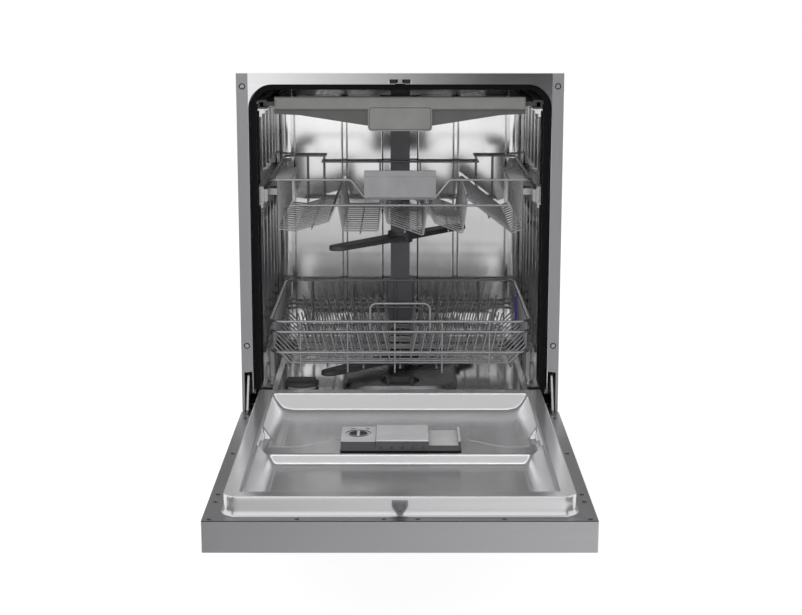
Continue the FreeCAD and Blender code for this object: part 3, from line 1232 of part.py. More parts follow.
def make_dispenser_body():
    bridge = BRIDGE_Z + SEAT_GAP
    floor = BORDER_Z + REAR_FLOOR_RISE + SEAT_GAP
    body = rounded_slab(DISPENSER_LEFT, DISPENSER_RIGHT, DISPENSER_NEAR, DISPENSER_REAR, bridge,
                        DISPENSER_TOP, DISPENSER_ROUND)
    tail = block(DISPENSER_LEFT + DISPENSER_ROUND, DISPENSER_RIGHT - DISPENSER_ROUND,
                 BRIDGE_REAR + 2 * STEP_SLOPE, DISPENSER_REAR, floor, bridge)
    track_left = LID_LEFT - RUN_GAP
    track_right = DISPENSER_RIGHT - DISPENSER_CHEEK
    track = block(track_left, track_right, DISPENSER_NEAR - PAST, DISPENSER_REAR + PAST, DISPENSER_TRACK,
                  DISPENSER_TOP + PAST)
    cup = rounded_slab(CUP_LEFT, CUP_RIGHT, DISPENSER_NEAR + CUP_MARGIN, DISPENSER_REAR - CUP_MARGIN,
                       CUP_FLOOR, DISPENSER_TRACK + PAST, DISPENSER_ROUND)
    dish = round_rod_z(CAP_X, CAP_Y, DISPENSER_TOP - CAP_DISH_DEPTH, DISPENSER_TOP + PAST, CAP_DISH)
    low = DISPENSER_TOP - CAP_DEPTH - RUN_GAP
    bore = round_rod_z(CAP_X, CAP_Y, low, DISPENSER_TOP, CAP_RADIUS + PIN_GAP)
    return body.fuse(tail).cut([track, cup, dish, bore]).removeSplitter()


def make_dispenser_lid():
    low = DISPENSER_TRACK + RUN_GAP
    near = DISPENSER_NEAR - LID_OVERHANG
    slab = block(LID_LEFT, LID_RIGHT, near, DISPENSER_REAR, low, LID_TOP)
    slab = slab.makeFillet(LID_ROUND, face_edges(slab, V(0, 0, 1)))
    flange = block(LID_LEFT, LID_RIGHT, near, near + LID_FLANGE, low - LID_FLANGE_DROP, low + LID_ROUND)
    pitch = (LID_RIGHT - LID_LEFT) / LID_HOLES
    holes = []
    for number in range(LID_HOLES):
        x = LID_LEFT + pitch * (number + 0.5)
        half = LID_HOLE_SIDE / 2
        foot = low - LID_FLANGE_DROP + LID_HOLE_MARGIN
        corners = [(x - half, foot), (x + half, foot), (x, low)]
        holes.append(plate_xz(corners, near - PAST, near + LID_FLANGE))
    return slab.fuse(flange).cut(holes).removeSplitter()


def make_rinse_aid_cap():
    low = DISPENSER_TOP - CAP_DEPTH
    cap = round_rod_z(CAP_X, CAP_Y, low, DISPENSER_TOP, CAP_RADIUS)
    above = DISPENSER_TOP + PAST
    moons = round_rod_z(CAP_X, CAP_Y, DISPENSER_TOP - CAP_MOON_DEPTH, above, CAP_RADIUS - CAP_MOON_INSET)
    bar = block(CAP_X - CAP_BAR / 2, CAP_X + CAP_BAR / 2, CAP_Y - CAP_RADIUS, CAP_Y + CAP_RADIUS, low, above)
    return cap.cut(moons.cut(bar))


# Spray arms

def blade(half_length, z):
    root = BLADE_ROOT / 2
    tip = BLADE_TIP / 2
    corners = [V(-half_length + tip, -tip, z), V(0, -root, z), V(half_length - tip, -tip, z),
               V(half_length - tip, tip, z), V(0, root, z), V(-half_length + tip, tip, z)]
    slab = Part.Face(Part.makePolygon(corners + corners[:1])).extrude(V(0, 0, BLADE_THICKNESS))
    ends = [Part.makeCylinder(tip, BLADE_THICKNESS, V(side * (half_length - tip), 0, z)) for side in (-1, 1)]
    shape = slab.fuse(ends).removeSplitter()
    return shape.makeFillet(BLADE_ROUND, face_edges(shape, V(0, 0, 1)))


def nozzles(half_length, top):
    holes = []
    for side in (-1, 1):
        for number in range(NOZZLES):
            x = side * (half_length * (number + NOZZLE_START) / (NOZZLES + 1))
            y = side * NOZZLE_RADIUS * 2 * (-1) ** number
            holes.append(round_rod_z(x, y, top - NOZZLE_DEPTH, top + PAST, NOZZLE_RADIUS))
    return holes


def place_arm(shape, angle):
    shape.rotate(V(0, 0, 0), V(0, 0, 1), angle)
    return moved(shape, y=HUB_Y)


def make_lower_arm():
    top = LOWER_ARM_Z + BLADE_THICKNESS
    low = TOWER_TOP + RUN_GAP
    hub = round_rod_z(0, 0, low, top + ARM_HUB_RISE, ARM_HUB)
    bore = round_rod_z(0, 0, low - PAST, TOWER_TOP + ARM_PIN_LENGTH + RUN_GAP, ARM_PIN + PIN_GAP)
    arm = blade(LOWER_ARM_HALF, LOWER_ARM_Z).fuse(hub).cut([bore] + nozzles(LOWER_ARM_HALF, top))
    return place_arm(arm.removeSplitter(), LOWER_ARM_ANGLE)


def make_upper_arm():
    top = UPPER_ARM_Z + BLADE_THICKNESS
    hub = round_rod_z(0, 0, UPPER_ARM_Z - ARM_HUB_RISE, FEED_BOTTOM - RUN_GAP, ARM_HUB)
    bore = round_rod_z(0, 0, FEED_BOTTOM - ARM_PIN_LENGTH - RUN_GAP, FEED_BOTTOM + PAST, ARM_PIN + PIN_GAP)
    arm = blade(UPPER_ARM_HALF, UPPER_ARM_Z).fuse(hub).cut([bore] + nozzles(UPPER_ARM_HALF, top))
    return place_arm(arm.removeSplitter(), UPPER_ARM_ANGLE)


# Lower rack

def end_wires(end_y, step, z):
    straight = RACK_HALF - RACK_CORNER
    bend = bent_rod([V(RACK_HALF, end_y + step, z), V(RACK_HALF, end_y, z), V(straight, end_y, z)],
                    RACK_RIM_WIRE, RACK_CORNER - WELD)
    bar = rod(V(-straight, end_y, z), V(straight, end_y, z), RACK_RIM_WIRE)
    return both_sides(bend) + [bar]


def make_lower_rims():
    wires = []
    for z in RACK_FRONT_ZS:
        wires += end_wires(RACK_FRONT, RACK_CORNER, z)
        side = rod(V(RACK_HALF, RACK_FRONT + RACK_CORNER, z), V(RACK_HALF, RACK_REAR - RACK_CORNER, z),
                   RACK_RIM_WIRE)
        wires += both_sides(side)
    for z in RACK_REAR_ZS:
        wires += end_wires(RACK_REAR, -RACK_CORNER, z)
    return wires


def make_lower_wires():
    wires = []
    inside = (RACK_RIM_WIRE + RACK_WIRE) / 2 + WELD
    side_x = RACK_HALF - inside
    top = RACK_FRONT_ZS[0]
    knee = RACK_FRONT_ZS[2] + RACK_RIM_WIRE
    floor_x = side_x - RACK_CHAMFER
    foot_x = floor_x - RACK_RIB_FOOT
    rib = bent_rod([V(side_x, 0, top), V(side_x, 0, knee), V(floor_x, 0, RACK_FLOOR_Z),
                    V(foot_x, 0, RACK_FLOOR_Z)], RACK_WIRE, RACK_RIM_WIRE)
    floor = rod(V(-foot_x, 0, RACK_FLOOR_Z), V(foot_x, 0, RACK_FLOOR_Z), RACK_WIRE)
    for number in range(RACK_SIDE_COUNT):
        y = RACK_FIRST_RIB + number * RACK_SIDE_PITCH
        wires += [moved(shape, y=y) for shape in both_sides(rib)]
        wires.append(moved(floor, y=y))
    front = RACK_FRONT + inside
    rear = RACK_REAR - inside
    for number in range(RACK_POST_COUNT):
        x = RACK_POST_START + number * RACK_POST_PITCH
        wires.append(rod(V(x, front, RACK_POST_BOTTOM), V(x, front, top), RACK_WIRE))
        wires.append(rod(V(x, rear, RACK_POST_BOTTOM), V(x, rear, top), RACK_WIRE))
    keel = rod(V(0, front + RACK_WIRE, RACK_KEEL_Z), V(0, rear - RACK_WIRE, RACK_KEEL_Z), RACK_WIRE)
    wires.append(keel)
    for x in RACK_LONG_XS:
        wires += both_sides(moved(keel, x=x))
    low = RACK_FRONT_ZS[1]
    leg_top = RACK_HANDLE_TOP - RACK_HANDLE_BEND - WELD
    half = RACK_HANDLE_HALF
    leg = rod(V(half, front, low), V(half, front, leg_top), RACK_WIRE)
    wires += both_sides(leg)
    wires.append(bent_rod([V(-half, front, leg_top), V(-half, front, RACK_HANDLE_TOP),
                           V(half, front, RACK_HANDLE_TOP), V(half, front, leg_top)],
                          RACK_WIRE, RACK_HANDLE_BEND))
    return wires


def tine_row(row, height, gap):
    y = RACK_FIRST_RIB + (TINE_ROW_STEP * row + 0.5) * RACK_SIDE_PITCH
    z = RACK_KEEL_Z + (RACK_WIRE + TINE_ROD) / 2 + gap
    last = TINE_FIRST + (TINE_COUNT - 1) * TINE_PITCH
    lean = TINE_LEAN * height / TINE_HEIGHT
    foot_z = z + TINE_ROD / 2
    pieces = [round_rod_x(-last - TINE_ROD, last + TINE_ROD, y, z, TINE_ROD / 2)]
    for number in range(TINE_COUNT):
        x = TINE_FIRST + number * TINE_PITCH
        tine = rod(V(x, y, foot_z + WELD), V(x + lean, y, foot_z + height), TINE_WIRE)
        pieces += both_sides(tine)
    return pieces


def make_wheel(y):
    wheel = round_rod_x(WHEEL_INNER, WHEEL_INNER + WHEEL_WIDTH, y, WHEEL_Z, WHEEL_RADIUS)
    rims = [e for e in wheel.Edges if e.Curve.TypeId == "Part::GeomCircle"]
    wheel = wheel.makeFillet(WHEEL_ROUND, rims)
    outer = WHEEL_INNER + WHEEL_WIDTH
    dish = round_rod_x(outer - WHEEL_DISH_DEPTH, outer + PAST, y, WHEEL_Z, WHEEL_DISH)
    hub = round_rod_x(outer - WHEEL_DISH_DEPTH, outer + PAST, y, WHEEL_Z, AXLE_RADIUS + WHEEL_ROUND)
    bore = round_rod_x(WHEEL_INNER - PAST, outer + PAST, y, WHEEL_Z, AXLE_RADIUS + PIN_GAP)
    return wheel.cut([dish.cut(hub), bore])


def make_wheel_brackets():
    brackets = []
    top = RACK_FRONT_ZS[2] - RACK_RIM_WIRE / 2 - WELD
    for y in WHEEL_YS:
        plate = block(HANGER_INNER, HANGER_OUTER, y - HANGER_HALF, y + HANGER_HALF, HANGER_BOTTOM, top)
        axle = round_rod_x(HANGER_OUTER, WHEEL_INNER + WHEEL_WIDTH, y, WHEEL_Z, AXLE_RADIUS)
        collar = round_rod_x(HANGER_OUTER, WHEEL_INNER - RUN_GAP, y, WHEEL_Z, AXLE_RADIUS + WHEEL_ROUND)
        brackets += both_sides(plate.fuse([axle, collar]).removeSplitter())
    return brackets


def make_rack_clip():
    inside = RACK_RIM_WIRE + RACK_WIRE + 2 * WELD
    outer_x = RACK_HALF + RACK_RIM_WIRE / 2 - inside
    return rounded_front(outer_x - CLIP_THICKNESS, outer_x, CLIP_Y - CLIP_HALF, CLIP_Y + CLIP_HALF,
                         CLIP_BOTTOM, RACK_FRONT_ZS[0], CLIP_ROUND)


# Upper rack

def make_upper_rims():
    rim_x = UPPER_RIM_X
    z = UPPER_TOP
    front = UPPER_FRONT
    bend_y = front + UPPER_CORNER
    left = bent_rod([V(-rim_x, bend_y, z), V(-rim_x, front, z), V(-UPPER_DIP_TOP - UPPER_CORNER, front, z)],
                    UPPER_RIM_WIRE, UPPER_CORNER - WELD)
    dip = bent_rod([V(-UPPER_DIP_TOP - UPPER_CORNER, front, z), V(-UPPER_DIP_TOP, front, z),
                    V(-UPPER_DIP_HALF, front, UPPER_DIP_Z), V(UPPER_DIP_HALF, front, UPPER_DIP_Z),
                    V(UPPER_DIP_TOP, front, z), V(UPPER_DIP_TOP + UPPER_CORNER, front, z)],
                   UPPER_RIM_WIRE, UPPER_DIP_BEND)
    side = rod(V(rim_x, bend_y, z), V(rim_x, UPPER_REAR - UPPER_CORNER, z), UPPER_RIM_WIRE)
    rear = bent_rod([V(rim_x, UPPER_REAR - UPPER_CORNER, z), V(rim_x, UPPER_REAR, z),
                     V(UPPER_REAR_LOW_HALF, UPPER_REAR, z)], UPPER_RIM_WIRE, UPPER_CORNER - WELD)
    low_half = UPPER_REAR_LOW_HALF + UPPER_REAR_LAP
    low = round_rod_x(-low_half, low_half, UPPER_REAR, UPPER_REAR_LOW, UPPER_RIM_WIRE / 2)
    second = round_rod_x(-UPPER_SECOND_HALF, UPPER_SECOND_HALF, front, UPPER_SECOND_Z, UPPER_RIM_WIRE / 2)
    second_rear = moved(second, y=UPPER_REAR - front, z=UPPER_REAR_SECOND_Z - UPPER_SECOND_Z)
    return both_sides(left) + [dip] + both_sides(side) + both_sides(rear) + [low, second, second_rear]


def upper_keels():
    places = []
    for bay in UPPER_KEEL_BAYS:
        (x0, z0), (x1, z1) = UPPER_FLOOR[bay], UPPER_FLOOR[bay + 1]
        along = V(x1 - x0, 0, z1 - z0).normalize()
        drop = UPPER_WIRE + WELD
        places.append(((x0 + x1) / 2 + along.z * drop, (z0 + z1) / 2 - along.x * drop))
    return places


def upper_floor_wires():
    points = [V(x, 0, z) for x, z in UPPER_FLOOR]
    wires = []
    run = points[:1]
    for bay in range(len(points) - 1):
        start = points[bay]
        end = points[bay + 1]
        if bay in UPPER_CUT_BAYS:
            foot = (end - start).normalize() * UPPER_FOOT
            wires.append(bent_rod(run + [start + foot], UPPER_WIRE, UPPER_BEND))
            wires.append(rod(start + foot, end - foot, UPPER_WIRE))
            run = [end - foot]
        run.append(end)
    wires.append(bent_rod(run, UPPER_WIRE, UPPER_BEND))
    return wires


def make_upper_wires():
    wires = []
    floor = upper_floor_wires()
    foot = UPPER_FLOOR[0][1]
    side = bent_rod([V(UPPER_HALF, 0, foot + UPPER_WIRE), V(UPPER_HALF, 0, UPPER_HOOK_Z),
                     V(UPPER_RIM_X, 0, UPPER_HOOK_Z)], UPPER_WIRE, UPPER_BEND)
    for number in range(UPPER_COUNT):
        y = UPPER_FIRST + number * UPPER_PITCH
        wires += [moved(shape, y=y) for shape in floor + both_sides(side)]
    inside = (UPPER_WIRE + UPPER_RIM_WIRE) / 2 + WELD
    front = UPPER_FRONT + inside
    rear = UPPER_REAR - inside
    wires += both_sides(rod(V(UPPER_POST_X, front, UPPER_SECOND_Z), V(UPPER_POST_X, front, UPPER_TOP),
                            UPPER_WIRE))
    lap_x = UPPER_REAR_LOW_HALF + UPPER_REAR_LAP / 2
    posts = [(x, UPPER_REAR_LOW) for x in UPPER_REAR_POST_XS]
    posts += [(lap_x, UPPER_TOP), (lap_x + UPPER_REAR_POST_STEP, UPPER_TOP)]
    for x, top in posts:
        wires += both_sides(rod(V(x, rear, UPPER_REAR_POST_Z), V(x, rear, top), UPPER_WIRE))
    for x, z in upper_keels():
        wires.append(rod(V(x, front, z), V(x, rear - UPPER_WIRE - WELD, z), UPPER_WIRE))
    return wires


def make_upper_grip():
    low = UPPER_DIP_Z + UPPER_RIM_WIRE / 2 + WELD
    rear = UPPER_FRONT + UPPER_RIM_WIRE / 2
    shape = rounded_front(-GRIP_HALF, GRIP_HALF, rear - GRIP_THICKNESS, rear, low, GRIP_TOP, GRIP_CORNER)
    shape = shape.makeFillet(GRIP_ROUND, face_edges(shape, V(0, -1, 0)))
    under = low - PAST
    ears = block(-BIG, BIG, UPPER_FRONT - UPPER_RIM_WIRE / 2 - WELD, BIG, under, UPPER_TOP + UPPER_RIM_WIRE)
    keep_half = UPPER_DIP_HALF - UPPER_DIP_BEND
    keep = block(-keep_half, keep_half, 0, BIG, under, GRIP_TOP)
    return shape.cut(ears.cut(keep))


def make_upper_feed():
    dock_face = TUB_REAR - SEAT_GAP - DUCT_THICKNESS - DOCK_LENGTH
    pipe = block(-FEED_HALF, FEED_HALF, HUB_Y - ARM_HUB, dock_face - RUN_GAP, FEED_BOTTOM, FEED_TOP)
    pipe = pipe.makeFillet(FEED_ROUND, edges_along(pipe, V(0, 1, 0)))
    pin = round_rod_z(0, HUB_Y, FEED_BOTTOM - ARM_PIN_LENGTH, FEED_BOTTOM, ARM_PIN)
    half = FEED_HANGER_HALF
    hangers = [block(-half, half, y, y + FEED_HANGER_LENGTH, FEED_TOP, FEED_HANGER_TOP)
               for y in FEED_HANGER_YS]
    return pipe.fuse([pin] + hangers).removeSplitter()


def make_cup_shelf():
    hinge_x = -UPPER_HALF - SHELF_OUTSET
    inner_x = hinge_x + SHELF_WIDTH
    rear = SHELF_FRONT + SHELF_LENGTH
    pieces = [rod(V(hinge_x, SHELF_FRONT, SHELF_Z), V(hinge_x, rear, SHELF_Z), SHELF_ROD),
              rod(V(inner_x, SHELF_FRONT, SHELF_Z), V(inner_x, rear, SHELF_Z), SHELF_ROD)]
    gap = SHELF_LENGTH / SHELF_SLATS
    start = hinge_x + SHELF_ROD / 2 + WELD
    end = inner_x - SHELF_ROD / 2 - WELD
    for number in range(SHELF_SLATS):
        y = SHELF_FRONT + gap * (number + 0.5)
        pieces.append(rod(V(start, y, SHELF_Z), V(end, y, SHELF_Z), SHELF_WIRE))
    return pieces


# Rails and cutlery tray

def make_upper_rail_outer():
    wall = TUB_HALF - SEAT_GAP
    plate = block(wall - RAIL_PLATE, wall, RAIL_FRONT, RAIL_REAR, RAIL_LOW, RAIL_HIGH)
    lip = block(wall - RAIL_LIP, wall, RAIL_FRONT, RAIL_REAR, RAIL_LOW, RAIL_LOW + RAIL_PLATE)
    return plate.fuse([lip, moved(lip, z=RAIL_HIGH - RAIL_LOW - RAIL_PLATE)]).removeSplitter()


def make_upper_rail_middle():
    outer = TUB_HALF - SEAT_GAP - RAIL_PLATE - RUN_GAP
    inset = RAIL_PLATE + RUN_GAP
    return block(outer - RAIL_STAGE, outer, RAIL_FRONT, RAIL_REAR, RAIL_LOW + inset, RAIL_HIGH - inset)


def make_upper_rail_inner():
    outer = TUB_HALF - SEAT_GAP - RAIL_PLATE - 2 * RUN_GAP - RAIL_STAGE
    bar = block(outer - RAIL_STAGE, outer, RAIL_FRONT, RAIL_REAR, RAIL_INNER_LOW, RAIL_INNER_HIGH)
    near = UPPER_HALF + UPPER_WIRE / 2 + WELD
    arms = [block(near, outer - RAIL_STAGE, y, y + RAIL_ARM_LENGTH, RAIL_ARM_LOW, RAIL_ARM_HIGH)
            for y in RAIL_ARM_YS]
    return bar.fuse(arms).removeSplitter()


def make_tray_rail():
    wall = TUB_HALF - SEAT_GAP
    low = SHOE_LOW - RUN_GAP - TRAY_RAIL_LIP
    high = SHOE_HIGH + RUN_GAP + TRAY_RAIL_LIP
    plate = block(wall - TRAY_RAIL_PLATE, wall, RAIL_FRONT, RAIL_REAR, low, high)
    lip = block(TRAY_RAIL_INNER, wall, RAIL_FRONT, RAIL_REAR, low, low + TRAY_RAIL_LIP)
    return plate.fuse([lip, moved(lip, z=high - low - TRAY_RAIL_LIP)]).removeSplitter()


def tray_profile(drop):
    return [(-TRAY_HALF, TRAY_EDGE_Z - drop), (-TRAY_SHOULDER_X, TRAY_SHOULDER_Z - drop),
            (-TRAY_VALLEY_X, TRAY_VALLEY_Z - drop), (TRAY_VALLEY_X, TRAY_VALLEY_Z - drop),
            (TRAY_SHOULDER_X, TRAY_SHOULDER_Z - drop), (TRAY_HALF, TRAY_EDGE_Z - drop)]


def make_cutlery_tray():
    inside = TRAY_FRONT + TRAY_BAR_DEPTH
    behind = TRAY_FRONT + TRAY_HANDLE_THICKNESS
    floor = plate_xz(tray_profile(TRAY_SKIN) + tray_profile(0)[::-1], behind, TRAY_REAR)
    slots = []
    run = (TRAY_REAR - inside) / TRAY_SLOT_ROWS
    last = TRAY_SLOT_COLUMNS - 1
    for row in range(TRAY_SLOT_ROWS):
        y = inside + run * (row + 0.5) - TRAY_SLOT_LENGTH / 2
        for column in range(-last, last + 1):
            x = column * TRAY_SLOT_PITCH
            if min(abs(x - rib) for rib in TRAY_RIB_XS) > TRAY_SLOT_WIDTH:
                slots.append(block(x - TRAY_SLOT_WIDTH / 2, x + TRAY_SLOT_WIDTH / 2, y, y + TRAY_SLOT_LENGTH,
                                   TRAY_HANDLE_LOW, TRAY_BAR_TOP))
    floor = floor.cut(Part.makeCompound(slots))
    bar = block(-TRAY_HALF, TRAY_HALF, TRAY_FRONT, inside, TRAY_BAR_LOW, TRAY_BAR_TOP)
    bar = bar.makeFillet(TRAY_ROUND, edges_along(bar, V(1, 0, 0)) + edges_along(bar, V(0, 0, 1)))
    handle = rounded_front(-TRAY_HANDLE_HALF, TRAY_HANDLE_HALF, TRAY_FRONT, behind,
                           TRAY_HANDLE_LOW, TRAY_BAR_TOP - TRAY_ROUND, TRAY_HANDLE_CORNER)
    lift = TRAY_WALL_TOP
    under = tray_profile(TRAY_SKIN)
    rear = plate_xz(under + [(TRAY_HALF, TRAY_EDGE_Z), (-TRAY_HALF, TRAY_EDGE_Z)], TRAY_REAR - TRAY_WALL,
                    TRAY_REAR)
    front = plate_xz(under + [(TRAY_HALF, lift), (-TRAY_HALF, lift)], behind, behind + TRAY_WALL)
    side = block(TRAY_HALF - TRAY_WALL, TRAY_HALF, inside - TRAY_ROUND, TRAY_REAR, TRAY_EDGE_Z - TRAY_SKIN,
                 lift)
    shoe = block(TRAY_HALF, SHOE_OUTER, SHOE_FRONT, SHOE_REAR, SHOE_LOW, SHOE_HIGH)
    ribs = []
    for x in TRAY_RIB_XS:
        share = max(0.0, (abs(x) - TRAY_VALLEY_X) / (TRAY_SHOULDER_X - TRAY_VALLEY_X))
        z = TRAY_VALLEY_Z + share * (TRAY_SHOULDER_Z - TRAY_VALLEY_Z)
        ribs.append(block(x - TRAY_WALL / 2, x + TRAY_WALL / 2, inside, TRAY_REAR - TRAY_WALL,
                          z - TRAY_SKIN / 2, z + TRAY_RIB_HEIGHT))
    pieces = [bar, handle, rear, front] + both_sides(side) + both_sides(shoe) + ribs
    return floor.fuse(pieces).removeSplitter()


# Write every part

os.makedirs("parts", exist_ok=True)
save("tub", *make_tub())
save("front_frame", make_front_frame())
save("side_panel_left", mirrored(make_side_panel()))
save("side_panel_right", make_side_panel())
save("back_cover", make_back_cover())
save("base_pan", make_base_pan())
save("kick_plate", make_kick_plate())
save("levelling_feet", *make_feet())
save("frame_screws", *make_frame_screws())
save("door_gasket", *make_gasket())
save("latch_housing", make_latch_housing())
save("latch_hook", make_latch_hook())
save("water_feed_duct", *make_water_feed_duct())
save("sump", make_sump())
save("filter_plate", make_filter_plate())
save("filter_cylinder", make_filter_cylinder())
save("circulation_pump", make_circulation_pump())
save("drain_pump", make_drain_pump())
save("softener_tank", make_softener_tank())
save("salt_cap", make_salt_cap())
save("inlet_valve", make_inlet_valve())
save("hinge_brackets", *both_sides(make_hinge_bracket()))
save("balance_springs", *both_sides(make_balance_spring()))
save("tray_rails", *both_sides(make_tray_rail()))
save("upper_rail_outer", *both_sides(make_upper_rail_outer()))
save("lower_spray_arm", make_lower_arm())

save("door_outer_panel", make_door_outer_panel())
save("door_liner", make_door_liner())
save("control_fascia", make_control_fascia())
save("display_window", make_display_window())
save("control_board", make_control_board())
save("handle_pocket", make_handle_pocket())
save("hinge_arms", *both_sides(make_hinge_arm()))
save("door_strike", make_door_strike())
save("door_screws", *make_door_screws())
save("dispenser_body", make_dispenser_body())
save("dispenser_lid", make_dispenser_lid())
save("rinse_aid_cap", make_rinse_aid_cap())
save("power_button", make_button(POWER_X))
save("program_button", make_button(PROGRAM_X))
save("start_button", make_button(START_X))

save("lower_rack_rims", *make_lower_rims())
save("lower_rack_wires", *make_lower_wires())
save("lower_rack_tines", *[piece for row in TINE_FIXED_ROWS for piece in tine_row(row, TINE_HEIGHT, WELD)])
save("fold_tines_front", *tine_row(TINE_FOLD_FRONT, TINE_FOLD_HEIGHT, CLEAR_GAP))
save("fold_tines_rear", *tine_row(TINE_FOLD_REAR, TINE_FOLD_HEIGHT, CLEAR_GAP))
save("wheel_brackets", *make_wheel_brackets())
save("wheels_front", *both_sides(make_wheel(WHEEL_YS[0])))
save("wheels_rear", *both_sides(make_wheel(WHEEL_YS[1])))
save("rack_clip", make_rack_clip())

save("upper_rail_middle", *both_sides(make_upper_rail_middle()))
save("upper_rail_inner", *both_sides(make_upper_rail_inner()))
save("upper_rack_rims", *make_upper_rims())
save("upper_rack_wires", *make_upper_wires())
save("upper_rack_grip", make_upper_grip())
save("upper_arm_feed", make_upper_feed())
save("upper_spray_arm", make_upper_arm())
save("cup_shelf_left", *make_cup_shelf())
save("cup_shelf_right", *[mirrored(piece) for piece in make_cup_shelf()])
save("cutlery_tray", make_cutlery_tray())
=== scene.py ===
import math
from collections import namedtuple

import bmesh
import bpy
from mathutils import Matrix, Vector


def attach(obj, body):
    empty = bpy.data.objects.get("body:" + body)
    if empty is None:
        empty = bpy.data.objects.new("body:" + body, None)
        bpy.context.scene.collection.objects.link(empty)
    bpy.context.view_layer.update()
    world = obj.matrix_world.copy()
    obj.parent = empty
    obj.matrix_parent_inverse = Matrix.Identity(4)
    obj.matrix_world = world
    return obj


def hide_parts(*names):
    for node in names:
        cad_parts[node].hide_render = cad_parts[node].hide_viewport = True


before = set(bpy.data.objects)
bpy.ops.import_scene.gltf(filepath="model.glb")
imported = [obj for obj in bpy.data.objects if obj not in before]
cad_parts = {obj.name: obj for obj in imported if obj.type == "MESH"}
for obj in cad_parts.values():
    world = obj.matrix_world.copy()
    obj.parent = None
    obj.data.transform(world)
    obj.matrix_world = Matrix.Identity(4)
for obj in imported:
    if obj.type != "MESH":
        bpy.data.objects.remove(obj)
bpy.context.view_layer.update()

# Places are millimetres: x from the middle, y from the front edge of the side panels, z from the floor
MM = 0.001
DECIMALS = 2
SAME_POINT = 0.01
QUARTER_TURN = 90.0
X, Y, Z = range(3)
SIDEWAYS = Vector((1.0, 0.0, 0.0))
FORWARD = Vector((0.0, -1.0, 0.0))
UPWARD = Vector((0.0, 0.0, 1.0))
Box = namedtuple("Box", "left right near rear low high")


def node_span(node, axis):
    values = [vertex.co[axis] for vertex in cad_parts[node].data.vertices]
    return round(min(values) / MM, DECIMALS), round(max(values) / MM, DECIMALS)


Y_SHIFT = min(node_span("side_panel_left", Y))


def node_box(node):
    left, right = node_span(node, X)
    near, rear = node_span(node, Y)
    low, high = node_span(node, Z)
    return Box(left, right, near - Y_SHIFT, rear - Y_SHIFT, low, high)


def place(x, y, z):
    return Vector((x, y + Y_SHIFT, z)) * MM


# Liner of the door: the wall from the border up to the rim, as depth inward and height
LINER_BOX = node_box("door_liner")
LINER_HALF = 269.0
LINER_NEAR = -627.0
LINER_REAR = LINER_BOX.rear
LINER_TOP = LINER_BOX.high
LINER_NEAR_ROUND = 25.0
LINER_REAR_ROUND = 8.0
LINER_INNER_ROUND = 3.0
LINER_REAR_SET = 0.5
LINER_PROFILE = ((-4.2, 185.1), (-3.2, 185.6), (-2.2, 187.0), (-1.3, 189.4), (-0.8, 193.0), (-0.4, 198.0),
                 (-0.1, 204.0), (0.0, 213.4), (0.35, 214.9), (1.0, 215.75), (2.0, 216.0), (2.6, 216.0),
                 (16.0, 215.9))
ROUND_STEPS = 8

# Border of the liner, cut back at the rear corners for the hinges
BORDER_Z = 185.0
CHANNEL_X = 284.0
CHANNEL_FRONT = -50.0
SLOT_X = 289.0
EYE_FRONT = -24.5

# Basins of the liner: a rear bowl, a bridge across the middle and a near pocket
BASIN_STEP = 2.0
BASIN_INSET = 14.0
BASIN_HALF = LINER_HALF - BASIN_INSET
BASIN_NEAR = LINER_NEAR + BASIN_INSET
BASIN_REAR = LINER_REAR - BASIN_INSET
BASIN_SIDE = 242.0
BASIN_BLEND = 1.8
RIM_BLEND = 0.9
REAR_DEPTH = 30.0
REAR_FLOOR = LINER_TOP - REAR_DEPTH
REAR_SIDE_RUN = 34.0
REAR_WALL_RUN = 20.0
BRIDGE_DEPTH = 24.0
BRIDGE_FLOOR = LINER_TOP - BRIDGE_DEPTH
BRIDGE_SIDE = 241.0
BRIDGE_SIDE_SLOPE = 6.0
BRIDGE_REAR = -236.0
BRIDGE_REAR_SLOPE = 1.4
BRIDGE_NEAR = -330.0
BRIDGE_NEAR_SLOPE = 2.0
NEAR_DEPTH = 40.0
NEAR_FLOOR = LINER_TOP - NEAR_DEPTH
NEAR_SIDE_RUN = 29.0
NEAR_EDGE = -602.0
NEAR_EDGE_RUN = 18.0
NEAR_REAR = -322.0

# Brink between the rear bowl and the bridge, which swings to the rear at the middle
BRINK_Y = -262.0
BRINK_SWING = 47.0
BRINK_OUTER = 190.0
BRINK_INNER = 105.0
BRINK_RUN = 17.0
BRINK_BLEND = 0.5

# Dispenser: its joint line as outward reach and height
DISPENSER_BOX = node_box("dispenser_body")
DISPENSER_ROUND = 5.0
TRIM_PROFILE = ((0.05, 192.3), (1.1, 192.3), (1.2, 194.4), (0.9, 195.6), (0.05, 196.0))

# Marks on the dispenser, as middle x, half width and half depth: the black oval is a painted shade for the
# slot, and the round dot is the dark indicator window
DISPENSER_MARKS = ((-81.8, 6.0, 2.0), (-56.2, 3.0, 3.0))
MARK_Y = -236.5
MARK_RISE = 0.35
MARK_RINGS = 5
MARK_SIDES = 28
MARK_CENTRE = 0.05

# Line round the handle of the cutlery tray, a painted shade line where a groove frames the handle; as
# inset and y from the tray's front
TRAY_FRONT = node_box("cutlery_tray").near
LINE_HALF = 57.6
LINE_LOW = 709.4
LINE_HIGH = 750.6
LINE_ROUND = 5.5
LINE_PROFILE = ((0.0, 0.1), (0.1, -0.25), (0.5, -0.4), (0.9, -0.4), (1.3, -0.25), (1.4, 0.1))

# Lips of the gasket inside the mouth, as y and inset from the wall; the broad lips are partly gasket and
# partly painted shade on the side walls near the mouth
LIP_WALL = 263.8
LIP_SECTION = ((39.2, 0.0), (39.2, 0.8), (41.0, 1.2), (64.0, 1.0), (67.0, 0.5), (68.0, 0.0))
LIP_SPANS = ((224.0, 566.0), (606.0, 743.0))
FLAP_SECTION = ((38.5, -1.9), (37.9, -1.9), (37.6, -0.9), (37.8, 0.1), (38.5, 0.3))
FLAP_SPANS = ((219.0, 758.0),)
LIP_END = 3.0
LIP_TAPER = 0.3

